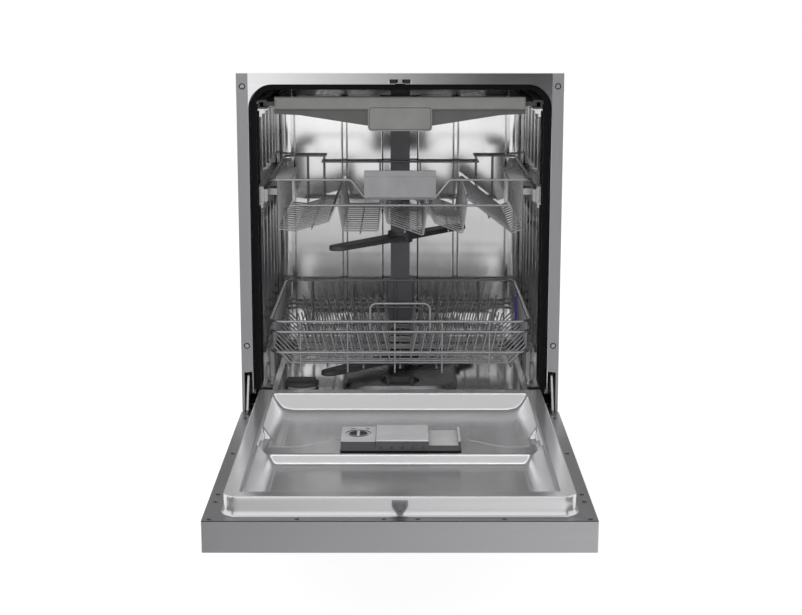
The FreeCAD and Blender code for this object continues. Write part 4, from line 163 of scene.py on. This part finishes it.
# Bead along the grip of the upper rack, as y from the grip's front and z from the bead's middle
GRIP_BOX = node_box("upper_rack_grip")
BEAD_END = 1.0
BEAD_DROP = 10.0
BEAD_HALF = GRIP_BOX.right - BEAD_END
BEAD_Z = GRIP_BOX.high - BEAD_DROP
BEAD_SECTION = ((0.2, -0.9), (-0.35, -0.75), (-0.6, -0.2), (-0.6, 0.2), (-0.35, 0.75), (0.2, 0.9))
BEAD_STEPS = 8

# Screw heads, as shares of their radius and thickness
SCREW_RINGS = 12
# Ring from which each head turns to black steel, a painted shade round its rim
SCREW_SHADED_RING = 8
SCREW_SIDES = 32
SCREW_CENTRE = 0.02
SCREW_EDGE = 0.45
SCREW_DOME = 0.55
SCREW_SLOT_HALF = 0.16
SCREW_SLOT_REACH = 0.66
SCREW_SLOT_DEPTH = 0.8
SCREW_SLOT_FLARE = 1.35
SCREW_SLOT_RUNOUT = 1.15

# Grain of the looks: streaks run along one axis, clouds and pimples change the gloss
UPRIGHT = (500.0, 500.0, 5.0)
CROSSWISE = (5.0, 500.0, 500.0)
LENGTHWISE = (500.0, 5.0, 500.0)
EVEN = (1.0, 1.0, 1.0)
NOISE_LOW = 0.3
NOISE_HIGH = 0.7
FINE_DETAIL = 4.0
SOFT_DETAIL = 2.0
STREAK_SCALE = 1.0
METAL_CLOUD_SCALE = 9.0
METAL_RELIEF = 0.4
PLASTIC_CLOUD_SCALE = 30.0
PLASTIC_RELIEF = 0.3

METALS = {
    "tub_steel": dict(tint=(0.88, 0.88, 0.885), stretch=UPRIGHT, rough=(0.1, 0.14), grain=0.006),
    "frame_steel": dict(tint=(0.84, 0.84, 0.85), stretch=CROSSWISE, rough=(0.16, 0.2)),
    "plate_steel": dict(tint=(0.45, 0.45, 0.46), stretch=CROSSWISE, rough=(0.22, 0.3)),
    "rail_steel": dict(tint=(0.45, 0.45, 0.46), stretch=LENGTHWISE, rough=(0.2, 0.3)),
    "liner_steel": dict(tint=(0.71, 0.71, 0.72), stretch=CROSSWISE, rough=(0.17, 0.22),
                        grain=0.004, metallic=0.73),
    "door_steel": dict(tint=(0.44, 0.44, 0.455), stretch=CROSSWISE, rough=(0.3, 0.36)),
    "border_steel": dict(tint=(0.32, 0.32, 0.33), stretch=CROSSWISE, rough=(0.34, 0.42)),
    "black_steel": dict(tint=(0.035, 0.035, 0.037), stretch=LENGTHWISE, rough=(0.35, 0.45)),
    "side_coat": dict(tint=(0.31, 0.31, 0.325), stretch=UPRIGHT, rough=(0.42, 0.5),
                      grain=0.02, metallic=0.3),
    "zinc_sheet": dict(tint=(0.50, 0.51, 0.52), stretch=(60.0, 60.0, 60.0), rough=(0.35, 0.55),
                       grain=0.05, metallic=0.8, change=0.2),
    "plated_steel": dict(tint=(0.66, 0.66, 0.65), stretch=LENGTHWISE, rough=(0.2, 0.3)),
    "screw_steel": dict(tint=(0.30, 0.30, 0.31), stretch=(300.0, 300.0, 300.0), rough=(0.2, 0.35)),
    "wire_coat": dict(tint=(0.42, 0.42, 0.43), stretch=(120.0, 120.0, 120.0), rough=(0.25, 0.33),
                      grain=0.02, metallic=0.9),
}

PLASTICS = {
    "black_plastic": dict(tint=(0.012, 0.012, 0.013), rough=(0.4, 0.55)),
    "dark_plastic": dict(tint=(0.055, 0.056, 0.06), rough=(0.35, 0.48)),
    # duct_plastic is lighter than the duct's own dark grey, as painted light against the shade at the rear
    # of the tub
    "duct_plastic": dict(tint=(0.15, 0.152, 0.162), rough=(0.3, 0.42)),
    "tray_plastic": dict(tint=(0.26, 0.26, 0.25), rough=(0.38, 0.5)),
    "tray_shade": dict(tint=(0.11, 0.11, 0.107), rough=(0.38, 0.5)),
    "grip_plastic": dict(tint=(0.32, 0.32, 0.335), rough=(0.35, 0.45)),
    # pale_plastic and slate_plastic serve as lit and shaded copies of one plastic on the dispenser, as
    # painted light and painted shade; slate_plastic is also the tray rails' own colour
    "pale_plastic": dict(tint=(0.6, 0.6, 0.61), rough=(0.35, 0.45)),
    "slate_plastic": dict(tint=(0.075, 0.075, 0.08), rough=(0.35, 0.45)),
    "strike_plastic": dict(tint=(0.17, 0.17, 0.178), rough=(0.3, 0.4)),
    "white_plastic": dict(tint=(0.7, 0.7, 0.68), rough=(0.4, 0.5)),
    "gasket_rubber": dict(tint=(0.004, 0.004, 0.0045), rough=(0.5, 0.65), grain=0.2, gloss=0.15),
    "purple_plastic": dict(tint=(0.09, 0.06, 0.27), rough=(0.28, 0.36)),
    "display_glass": dict(tint=(0.01, 0.01, 0.012), rough=(0.06, 0.12), grain=0.01, grain_scale=60.0),
}

# Pieces lit and shaded by face: faces that look up are pale and the others dark, a painted light and
# shade; the bar and handle of the tray are pale too, in its own plastic
SECOND_LOOK = 1
TOP_FACING = 0.35
PALE_ABOVE = {"dispenser_body": 203.0, "dispenser_lid": 203.0, "rinse_aid_cap": 211.0}
TRAY_BAR_LOW = 745.8
TRAY_BAR_REAR = 48.2
TRAY_HANDLE_HALF = 59.8

# Pieces of one look
LOOK_NODES = {
    "tub_steel": ("tub",),
    "frame_steel": ("front_frame",),
    "side_coat": ("side_panel_left", "side_panel_right"),
    "zinc_sheet": ("back_cover",),
    "plate_steel": ("filter_plate",),
    "rail_steel": ("upper_rail_outer", "upper_rail_middle", "upper_rail_inner"),
    "black_steel": ("hinge_brackets",),
    "plated_steel": ("latch_hook", "balance_springs", "hinge_arms"),
    "door_steel": ("door_outer_panel",),
    "liner_steel": ("door_liner",),
    "screw_steel": ("frame_screws", "door_screws"),
    "wire_coat": ("lower_rack_rims", "lower_rack_wires", "lower_rack_tines", "fold_tines_front",
                  "fold_tines_rear", "upper_rack_rims", "upper_rack_wires", "cup_shelf_left",
                  "cup_shelf_right"),
    "black_plastic": ("base_pan", "kick_plate", "latch_housing", "handle_pocket"),
    "dark_plastic": ("levelling_feet", "sump", "filter_cylinder", "circulation_pump", "drain_pump",
                     "salt_cap", "control_board", "power_button", "program_button", "start_button",
                     "lower_spray_arm", "upper_arm_feed", "upper_spray_arm"),
    "duct_plastic": ("water_feed_duct",),
    "grip_plastic": ("wheel_brackets", "wheels_front", "wheels_rear", "upper_rack_grip"),
    "slate_plastic": ("tray_rails",),
    "strike_plastic": ("door_strike",),
    "white_plastic": ("softener_tank", "inlet_valve"),
    "gasket_rubber": ("door_gasket",),
    "purple_plastic": ("rack_clip",),
    "display_glass": ("control_fascia", "display_window"),
}

# Stage, in metres and degrees: the floor, the room and the lamps
FLOOR_SIZE = 12.0
FLOOR_CELLS = 8
FLOOR_GREY = (0.5, 0.5, 0.5, 1.0)
FLOOR_GLOW = 0.78
WHITE = (1.0, 1.0, 1.0, 1.0)
ROOM_FILL = 0.55
ROOM_SEEN = 1.0
LAMPS = {
    "key_left": dict(spot=(-1.9, -2.9, 2.9), aim=(0.0, 0.0, 0.4), width=3.0, height=2.2, watts=23.0),
    "fill_right": dict(spot=(2.6, -2.2, 1.8), aim=(0.0, 0.1, 0.4), width=2.0, height=2.0, watts=3.0),
    "top_soft": dict(spot=(0.0, -0.4, 3.0), aim=(0.0, -0.1, 0.0), width=3.0, height=3.0, watts=14.0),
    "front_soft": dict(spot=(0.0, -3.6, 0.95), aim=(0.0, 0.3, 0.45), width=2.4, height=1.0, watts=26.0),
}

# Cards that only reflections see, with the glow of both ends: left to right, or rear to front
LYING = (-QUARTER_TURN, 0.0)
TURNED_LEFT = (0.0, -QUARTER_TURN / 2)
TURNED_RIGHT = (0.0, QUARTER_TURN / 2)
CARDS = {
    "dark_side": dict(centre=(-0.115, -0.9, 0.8), width=0.607, height=0.34, glow=(1.1, 0.06)),
    "black_side": dict(centre=(0.54, -0.9, 0.8), width=0.703, height=0.34, glow=(0.06, 0.05)),
    "dark_floor": dict(centre=(0.0, -3.1, 0.03), width=5.0, height=4.2, glow=(0.32, 0.95),
                       turn=LYING, lengthwise=True),
    "ceiling": dict(centre=(0.0, -2.2, 2.4), width=4.4, height=3.4, glow=(0.74, 0.64), turn=LYING),
    "front_floor": dict(centre=(0.0, -1.2, 0.05), width=1.9, height=1.1, glow=(0.14, 1.2), turn=LYING),
    "left_wing": dict(centre=(-0.62, 0.07, 0.48), width=0.62, height=0.8, glow=(0.4, 0.4)),
    "right_wing": dict(centre=(0.62, 0.07, 0.48), width=0.62, height=0.8, glow=(0.4, 0.4)),
    "strip_light": dict(centre=(0.0, -0.32, 1.5), width=2.4, height=0.12, glow=(3.2, 3.2), turn=LYING),
    "dark_top": dict(centre=(0.0, 0.13, 1.5), width=2.4, height=0.62, glow=(0.12, 0.12), turn=LYING),
    "left_floor": dict(centre=(-1.15, -1.1, 0.06), width=0.8, height=1.3, glow=(0.01, 0.01), turn=LYING),
    "right_floor": dict(centre=(1.15, -1.1, 0.06), width=0.8, height=1.3, glow=(0.01, 0.01), turn=LYING),
    "left_post": dict(centre=(-1.7, -1.9, 0.5), width=0.5, height=1.4, glow=(0.1, 0.1), turn=TURNED_LEFT),
    "right_post": dict(centre=(1.7, -1.9, 0.5), width=0.5, height=1.4, glow=(0.1, 0.1), turn=TURNED_RIGHT),
}

# Camera
CAMERA_PLACE = (1.75, -2942.2, 975.3)
CAMERA_TILT = 11.43
CAMERA_LENS = 71.95


# Looks

def noise(tree, stretch, scale, detail):
    coords = tree.nodes.new("ShaderNodeTexCoord")
    mapping = tree.nodes.new("ShaderNodeMapping")
    mapping.inputs["Scale"].default_value = stretch
    texture = tree.nodes.new("ShaderNodeTexNoise")
    texture.inputs["Scale"].default_value = scale
    texture.inputs["Detail"].default_value = detail
    tree.links.new(coords.outputs["Object"], mapping.inputs["Vector"])
    tree.links.new(mapping.outputs["Vector"], texture.inputs["Vector"])
    return texture.outputs["Fac"]


def ramp(tree, factor, low, high):
    node = tree.nodes.new("ShaderNodeValToRGB")
    node.color_ramp.elements[0].position = NOISE_LOW
    node.color_ramp.elements[0].color = (*low, 1.0)
    node.color_ramp.elements[1].position = NOISE_HIGH
    node.color_ramp.elements[1].color = (*high, 1.0)
    tree.links.new(factor, node.inputs["Fac"])
    return node.outputs["Color"]


def spread(tree, value, ends, low, high):
    node = tree.nodes.new("ShaderNodeMapRange")
    node.inputs["From Min"].default_value = ends[0]
    node.inputs["From Max"].default_value = ends[1]
    node.inputs["To Min"].default_value = low
    node.inputs["To Max"].default_value = high
    tree.links.new(value, node.inputs["Value"])
    return node.outputs["Result"]


def bump(tree, shader, height, strength, relief):
    node = tree.nodes.new("ShaderNodeBump")
    node.inputs["Strength"].default_value = strength
    node.inputs["Distance"].default_value = relief * MM
    tree.links.new(height, node.inputs["Height"])
    tree.links.new(node.outputs["Normal"], shader.inputs["Normal"])


def new_look(name):
    material = bpy.data.materials.new(name)
    material.use_nodes = True
    return material, material.node_tree, material.node_tree.nodes["Principled BSDF"]


def vary(tree, shader, tone, tint, change, polish, rough):
    darker = [value * (1.0 - change) for value in tint]
    lighter = [min(1.0, value * (1.0 + change)) for value in tint]
    tree.links.new(ramp(tree, tone, darker, lighter), shader.inputs["Base Color"])
    tree.links.new(spread(tree, polish, (NOISE_LOW, NOISE_HIGH), *rough), shader.inputs["Roughness"])


def metal(name, tint, stretch, rough, grain=0.015, metallic=1.0, change=0.025):
    material, tree, shader = new_look(name)
    streaks = noise(tree, stretch, STREAK_SCALE, FINE_DETAIL)
    clouds = noise(tree, EVEN, METAL_CLOUD_SCALE, SOFT_DETAIL)
    vary(tree, shader, streaks, tint, change, clouds, rough)
    shader.inputs["Metallic"].default_value = metallic
    bump(tree, shader, streaks, grain, METAL_RELIEF)
    return material


def plastic(name, tint, rough, grain=0.12, grain_scale=900.0, change=0.08, gloss=0.5):
    material, tree, shader = new_look(name)
    clouds = noise(tree, EVEN, PLASTIC_CLOUD_SCALE, FINE_DETAIL)
    pimples = noise(tree, EVEN, grain_scale, SOFT_DETAIL)
    vary(tree, shader, clouds, tint, change, pimples, rough)
    shader.inputs["Specular IOR Level"].default_value = gloss
    bump(tree, shader, pimples, grain, PLASTIC_RELIEF)
    return material


materials = {name: metal(name, **look) for name, look in METALS.items()}
materials.update({name: plastic(name, **look) for name, look in PLASTICS.items()})


# Looks of the solids

def wear(node, *looks):
    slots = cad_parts[node].data.materials
    slots.clear()
    for look in looks:
        slots.append(materials[look])


def paint_lit_and_shaded(node, pale, dark, is_pale):
    wear(node, pale, dark)
    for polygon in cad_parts[node].data.polygons:
        polygon.material_index = 0 if is_pale(polygon) else SECOND_LOOK


# Faces that look up and stand above the height take the pale look as painted light; the others take the
# dark look as painted shade
def faces_up(height):
    return lambda polygon: polygon.normal.z > TOP_FACING and polygon.center.z > height * MM


# The tray's bar, handle and upward faces keep its own pale plastic; every other face takes tray_shade, a
# painted shade
def on_tray_front(polygon):
    spot = polygon.center / MM
    ahead = spot.y - Y_SHIFT < TRAY_BAR_REAR
    on_bar = ahead and (spot.z > TRAY_BAR_LOW or abs(spot.x) < TRAY_HANDLE_HALF)
    return on_bar or polygon.normal.z > TOP_FACING


for look, nodes in LOOK_NODES.items():
    for node in nodes:
        wear(node, look)
# Dispenser, lid and rinse-aid cap: pale tops as painted light, slate sides as painted shade
for node, height in PALE_ABOVE.items():
    paint_lit_and_shaded(node, "pale_plastic", "slate_plastic", faces_up(height))
# Tray: its own plastic on the bar, handle and upward faces, and painted shade in tray_shade on the rest
paint_lit_and_shaded("cutlery_tray", "tray_plastic", "tray_shade", on_tray_front)


# Mesh helpers

def new_object(name, build, slots):
    mesh = bpy.data.meshes.new(name)
    build.to_mesh(mesh)
    build.free()
    for material in slots:
        mesh.materials.append(material)
    thing = bpy.data.objects.new(name, mesh)
    bpy.context.collection.objects.link(thing)
    return thing


def make_piece(name, build, looks, body):
    bmesh.ops.recalc_face_normals(build, faces=build.faces)
    piece = new_object(name, build, [materials[look] for look in looks])
    for polygon in piece.data.polygons:
        polygon.use_smooth = True
    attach(piece, body)
    return piece


def rounded_loop(half, near, rear, near_round, rear_round):
    corners = ((half - near_round, near + near_round, near_round),
               (half - rear_round, rear - rear_round, rear_round),
               (-half + rear_round, rear - rear_round, rear_round),
               (-half + near_round, near + near_round, near_round))
    points = []
    for turn, (x, y, radius) in enumerate(corners, start=-1):
        for step in range(ROUND_STEPS + 1):
            angle = math.radians(QUARTER_TURN * (turn + step / ROUND_STEPS))
            points.append((x + radius * math.cos(angle), y + radius * math.sin(angle)))
    return points


def circle(sides):
    angles = [2 * math.pi * number / sides for number in range(sides)]
    return [(math.cos(angle), math.sin(angle)) for angle in angles]


def bridge_rows(build, rows):
    faces = []
    count = len(rows[0])
    for low, high in zip(rows, rows[1:]):
        for number in range(count):
            following = (number + 1) % count
            faces.append(build.faces.new((low[number], low[following], high[following], high[number])))
    return faces


def closed_tube(build, rows):
    bridge_rows(build, rows)
    build.faces.new(rows[0])
    build.faces.new(rows[-1])


# Door liner: each hollow is the highest of its floor and slopes, rounded where they meet

def soft_max(values, blend):
    peak = max(values)
    return peak + blend * math.log(sum(math.exp((value - peak) / blend) for value in values))


def soft_min(values, blend):
    return -soft_max([-value for value in values], blend)


def smooth_step(value, start, end):
    share = min(1.0, max(0.0, (value - start) / (end - start)))
    return share * share * (3.0 - 2.0 * share)


def rear_side_height(side):
    share = (BASIN_SIDE - side) / REAR_SIDE_RUN
    if share > 1.0:
        return REAR_FLOOR + (1.0 - share) * REAR_SIDE_RUN
    return REAR_FLOOR + REAR_DEPTH * (1.0 - share) ** 2


def rear_height(side, y):
    bowl = (REAR_FLOOR, rear_side_height(side), LINER_TOP + y * REAR_DEPTH / REAR_WALL_RUN)
    brink = BRINK_Y + BRINK_SWING * smooth_step(side, BRINK_OUTER, BRINK_INNER)
    climb = REAR_FLOOR + (brink - y) * (BRIDGE_FLOOR - REAR_FLOOR) / BRINK_RUN
    return soft_max((soft_max(bowl, BASIN_BLEND), climb), BRINK_BLEND)


def bridge_height(side, y):
    planes = (BRIDGE_FLOOR, LINER_TOP - (BRIDGE_SIDE - side) * BRIDGE_SIDE_SLOPE,
              BRIDGE_FLOOR + (y - BRIDGE_REAR) * BRIDGE_REAR_SLOPE,
              BRIDGE_FLOOR - (y - BRIDGE_NEAR) * BRIDGE_NEAR_SLOPE)
    return soft_max(planes, BASIN_BLEND)


def near_height(side, y):
    planes = (NEAR_FLOOR, LINER_TOP - (BASIN_SIDE - side) * NEAR_DEPTH / NEAR_SIDE_RUN,
              LINER_TOP - (y - NEAR_EDGE) * NEAR_DEPTH / NEAR_EDGE_RUN, BRIDGE_FLOOR + (y - NEAR_REAR))
    return soft_max(planes, BASIN_BLEND)


def basin_height(x, y):
    side = abs(x)
    hollows = (rear_height(side, y), LINER_TOP, bridge_height(side, y), near_height(side, y))
    return soft_min(hollows, RIM_BLEND)


def liner_wall(build):
    rows = []
    for depth, z in LINER_PROFILE:
        rear = LINER_REAR - LINER_REAR_SET - max(depth, 0.0)
        loop = rounded_loop(LINER_HALF - depth, LINER_NEAR + depth, rear,
                            max(LINER_NEAR_ROUND - depth, LINER_INNER_ROUND),
                            max(LINER_REAR_ROUND - depth, LINER_INNER_ROUND))
        rows.append([build.verts.new(place(x, y, z)) for x, y in loop])
    bridge_rows(build, rows)
    return rows[0]


def liner_border(build, foot):
    right = ((LINER_BOX.right, LINER_BOX.near), (LINER_BOX.right, EYE_FRONT), (SLOT_X, EYE_FRONT),
             (SLOT_X, CHANNEL_FRONT), (CHANNEL_X, CHANNEL_FRONT), (CHANNEL_X, LINER_REAR))
    border = right + tuple((-x, y) for x, y in reversed(right))
    outer = [build.verts.new(place(x, y, BORDER_Z)) for x, y in border]
    edges = [build.edges.new(pair) for pair in zip(outer, outer[1:] + outer[:1])]
    edges += [build.edges.get(pair) for pair in zip(foot, foot[1:] + foot[:1])]
    filled = bmesh.ops.triangle_fill(build, edges=edges, use_beauty=True)
    for item in filled["geom"]:
        if isinstance(item, bmesh.types.BMFace):
            item.material_index = SECOND_LOOK


def liner_basins(build):
    columns = int(2 * BASIN_HALF / BASIN_STEP)
    lines = int((BASIN_REAR - BASIN_NEAR) / BASIN_STEP)
    grid = []
    for line in range(lines + 1):
        y = BASIN_NEAR + (BASIN_REAR - BASIN_NEAR) * line / lines
        row = []
        for column in range(columns + 1):
            x = -BASIN_HALF + 2 * BASIN_HALF * column / columns
            row.append(build.verts.new(place(x, y, basin_height(x, y))))
        grid.append(row)
    for low, high in zip(grid, grid[1:]):
        for column in range(columns):
            build.faces.new((low[column], low[column + 1], high[column + 1], high[column]))


def make_liner():
    build = bmesh.new()
    foot = liner_wall(build)
    liner_border(build, foot)
    liner_basins(build)
    liner = make_piece("door_liner_pressing", build, ("liner_steel", "border_steel"), "door")
    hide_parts("door_liner")


make_liner()


# Marks and joint line of the dispenser

def low_dome(build, x, y, z, half_width, half_depth):
    rows = []
    for ring in range(MARK_RINGS + 1):
        share = 1.0 - ring / MARK_RINGS * (1.0 - MARK_CENTRE)
        lift = MARK_RISE * math.sqrt(1.0 - share * share)
        wide = half_width * share
        deep = half_depth * share
        rows.append([build.verts.new(place(x + wide * u, y + deep * v, z + lift))
                     for u, v in circle(MARK_SIDES)])
    closed_tube(build, rows)


def make_marks():
    build = bmesh.new()
    # Black domes: the oval is painted shade for the slot, the dot is the indicator window
    for x, half_width, half_depth in DISPENSER_MARKS:
        low_dome(build, x, MARK_Y, DISPENSER_BOX.high, half_width, half_depth)
    make_piece("dispenser_marks", build, ("black_plastic",), "door")


def make_dispenser_trim():
    half = (DISPENSER_BOX.right - DISPENSER_BOX.left) / 2
    middle = (DISPENSER_BOX.right + DISPENSER_BOX.left) / 2
    build = bmesh.new()
    rows = []
    for grow, z in TRIM_PROFILE:
        loop = rounded_loop(half + grow, DISPENSER_BOX.near - grow, DISPENSER_BOX.rear + grow,
                            DISPENSER_ROUND + grow, DISPENSER_ROUND + grow)
        rows.append([build.verts.new(place(x + middle, y, z)) for x, y in loop])
    bridge_rows(build, rows + rows[:1])
    make_piece("dispenser_trim", build, ("gasket_rubber",), "door")


make_marks()
make_dispenser_trim()


# Screws with a cross recess in place of the plain heads, with a painted shade in black steel round the rim
# of each head

def loose_parts(node):
    build = bmesh.new()
    build.from_mesh(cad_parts[node].data)
    bmesh.ops.remove_doubles(build, verts=build.verts, dist=SAME_POINT * MM)
    left = dict.fromkeys(build.verts)
    parts = []
    while left:
        stack = [left.popitem()[0]]
        found = []
        while stack:
            vert = stack.pop()
            found.append(vert.co.copy())
            for edge in vert.link_edges:
                other = edge.other_vert(vert)
                if other in left:
                    del left[other]
                    stack.append(other)
        low = Vector([min(point[axis] for point in found) for axis in (X, Y, Z)])
        high = Vector([max(point[axis] for point in found) for axis in (X, Y, Z)])
        parts.append((low, high))
    build.free()
    return parts


def screw_height(u, v):
    dome = SCREW_DOME * (1.0 - u * u - v * v)
    along, across = max(abs(u), abs(v)), min(abs(u), abs(v))
    inside = smooth_step(across, SCREW_SLOT_HALF * SCREW_SLOT_FLARE, SCREW_SLOT_HALF)
    inside *= smooth_step(along, SCREW_SLOT_REACH * SCREW_SLOT_RUNOUT, SCREW_SLOT_REACH)
    return SCREW_EDGE + dome - SCREW_SLOT_DEPTH * inside


def screw_head(build, low, high, up):
    away = up.cross(SIDEWAYS)
    radius = (high.x - low.x) / 2
    thick = abs((high - low).dot(up))
    base = (low + high) / 2 - up * thick / 2
    rows = []
    for ring in range(SCREW_RINGS + 1):
        share = max(ring, SCREW_CENTRE) / SCREW_RINGS
        row = []
        for cosine, sine in circle(SCREW_SIDES):
            u = share * cosine
            v = share * sine
            lift = thick * screw_height(u, v)
            row.append(build.verts.new(base + (SIDEWAYS * u + away * v) * radius + up * lift))
        rows.append(row)
    rows.append([build.verts.new(vert.co - up * (vert.co - base).dot(up)) for vert in rows[-1]])
    build.faces.new(rows[0])
    bridge_rows(build, rows[:SCREW_SHADED_RING + 1])
    # Outer rings in black steel: painted shade round the rim of the head
    for face in bridge_rows(build, rows[SCREW_SHADED_RING:]):
        face.material_index = SECOND_LOOK


def make_screws(name, node, body, up, looks):
    build = bmesh.new()
    for low, high in loose_parts(node):
        screw_head(build, low, high, up)
    piece = make_piece(name, build, looks, body)
    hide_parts(node)


make_screws("frame_screw_heads", "frame_screws", "cabinet", FORWARD, ("plate_steel", "black_steel"))
make_screws("border_screw_heads", "door_screws", "door", UPWARD, ("screw_steel", "black_steel"))


# Lips of the gasket along the side walls, partly gasket and partly painted shade on the walls near the
# mouth

def make_wall_strips(name, section, spans):
    build = bmesh.new()
    for side in (-1, 1):
        for low, high in spans:
            levels = ((low, LIP_TAPER), (low + LIP_END, 1.0), (high - LIP_END, 1.0), (high, LIP_TAPER))
            rows = []
            for z, share in levels:
                rows.append([build.verts.new(place(side * (LIP_WALL - inset * share), y, z))
                             for y, inset in section])
            closed_tube(build, rows)
    make_piece(name, build, ("gasket_rubber",), "cabinet")


# Black rubber lips: partly the gasket, partly painted shade on the steel walls near the mouth
make_wall_strips("gasket_lips_and_wall_shade", LIP_SECTION, LIP_SPANS)
make_wall_strips("gasket_flaps", FLAP_SECTION, FLAP_SPANS)


# Bead across the grip, and the line round the tray's handle

def make_grip_bead():
    build = bmesh.new()
    rows = []
    for step in range(BEAD_STEPS + 1):
        x = -BEAD_HALF + 2 * BEAD_HALF * step / BEAD_STEPS
        rows.append([build.verts.new(place(x, GRIP_BOX.near + out, BEAD_Z + up))
                     for out, up in BEAD_SECTION])
    closed_tube(build, rows)
    make_piece("grip_bead", build, ("grip_plastic",), "upper_rack")


def make_handle_line():
    build = bmesh.new()
    rows = []
    for inset, out in LINE_PROFILE:
        loop = rounded_loop(LINE_HALF - inset, LINE_LOW + inset, LINE_HIGH - inset,
                            LINE_ROUND - inset, LINE_ROUND - inset)
        rows.append([build.verts.new(place(x, TRAY_FRONT + out, z)) for x, z in loop])
    bridge_rows(build, rows + rows[:1])
    # The line takes tray_shade: a painted shade for the groove round the handle
    make_piece("tray_handle_line", build, ("tray_shade",), "cutlery_tray")


make_grip_bead()
make_handle_line()


# Floor, light and camera: the floor and the room are white where the camera or a reflection sees them

def sight_rays(tree):
    path = tree.nodes.new("ShaderNodeLightPath")
    total = path.outputs["Is Camera Ray"]
    for name in ("Is Glossy Ray", "Is Transmission Ray"):
        add = tree.nodes.new("ShaderNodeMath")
        add.operation = "ADD"
        add.use_clamp = True
        tree.links.new(total, add.inputs[0])
        tree.links.new(path.outputs[name], add.inputs[1])
        total = add.outputs[0]
    return total


def bare_material(name):
    material = bpy.data.materials.new(name)
    material.use_nodes = True
    tree = material.node_tree
    tree.nodes.clear()
    output = tree.nodes.new("ShaderNodeOutputMaterial")
    return material, tree, output.inputs["Surface"]


def make_floor():
    material, tree, surface = bare_material("floor_white")
    matt = tree.nodes.new("ShaderNodeBsdfDiffuse")
    matt.inputs["Color"].default_value = FLOOR_GREY
    glow = tree.nodes.new("ShaderNodeEmission")
    scale = tree.nodes.new("ShaderNodeMath")
    scale.operation = "MULTIPLY"
    scale.inputs[1].default_value = FLOOR_GLOW
    tree.links.new(sight_rays(tree), scale.inputs[0])
    tree.links.new(scale.outputs[0], glow.inputs["Strength"])
    both = tree.nodes.new("ShaderNodeAddShader")
    tree.links.new(matt.outputs[0], both.inputs[0])
    tree.links.new(glow.outputs[0], both.inputs[1])
    tree.links.new(both.outputs[0], surface)
    build = bmesh.new()
    bmesh.ops.create_grid(build, x_segments=FLOOR_CELLS, y_segments=FLOOR_CELLS, size=FLOOR_SIZE)
    floor = new_object("floor", build, [material])


def make_world():
    world = bpy.data.worlds.new("white_room")
    bpy.context.scene.world = world
    world.use_nodes = True
    tree = world.node_tree
    tree.nodes.clear()
    output = tree.nodes.new("ShaderNodeOutputWorld")
    mix = tree.nodes.new("ShaderNodeMixShader")
    tree.links.new(sight_rays(tree), mix.inputs["Fac"])
    for number, strength in enumerate((ROOM_FILL, ROOM_SEEN), start=1):
        room = tree.nodes.new("ShaderNodeBackground")
        room.inputs["Color"].default_value = WHITE
        room.inputs["Strength"].default_value = strength
        tree.links.new(room.outputs[0], mix.inputs[number])
    tree.links.new(mix.outputs[0], output.inputs["Surface"])


def soft_box(name, spot, aim, width, height, watts):
    data = bpy.data.lights.new(name, "AREA")
    data.shape = "RECTANGLE"
    data.size = width
    data.size_y = height
    data.energy = watts
    lamp = bpy.data.objects.new(name, data)
    lamp.location = spot
    lamp.rotation_euler = (Vector(aim) - Vector(spot)).to_track_quat("-Z", "Y").to_euler()
    lamp.visible_camera = False
    lamp.visible_glossy = False
    bpy.context.collection.objects.link(lamp)


def grade(tree, light, axis, reach, glow):
    coords = tree.nodes.new("ShaderNodeTexCoord")
    split = tree.nodes.new("ShaderNodeSeparateXYZ")
    tree.links.new(coords.outputs["Object"], split.inputs[0])
    strength = spread(tree, split.outputs[axis], (-reach, reach), *glow)
    tree.links.new(strength, light.inputs["Strength"])


def shade_card(name, centre, width, height, glow, turn=(0.0, 0.0), lengthwise=False):
    material, tree, surface = bare_material(name)
    light = tree.nodes.new("ShaderNodeEmission")
    tree.links.new(light.outputs[0], surface)
    if glow[0] == glow[1]:
        light.inputs["Strength"].default_value = glow[0]
    else:
        axis, reach = ("Z", -height / 2) if lengthwise else ("X", width / 2)
        grade(tree, light, axis, reach, glow)
    build = bmesh.new()
    corners = ((-1, -1), (1, -1), (1, 1), (-1, 1))
    build.faces.new([build.verts.new((u * width / 2, 0.0, v * height / 2)) for u, v in corners])
    card = new_object(name, build, [material])
    card.location = centre
    card.rotation_euler = (math.radians(turn[0]), 0.0, math.radians(turn[1]))
    card.visible_camera = False
    card.visible_diffuse = False
    card.visible_shadow = False


def make_camera():
    data = bpy.data.cameras.new("camera")
    data.lens = CAMERA_LENS
    camera = bpy.data.objects.new("camera", data)
    camera.location = place(*CAMERA_PLACE)
    camera.rotation_euler = (math.radians(QUARTER_TURN - CAMERA_TILT), 0.0, 0.0)
    bpy.context.collection.objects.link(camera)
    bpy.context.scene.camera = camera


make_floor()
make_world()
for name, lamp in LAMPS.items():
    soft_box(name, **lamp)
for name, card in CARDS.items():
    shade_card(name, **card)
make_camera()
bpy.context.scene.view_settings.view_transform = "Standard"
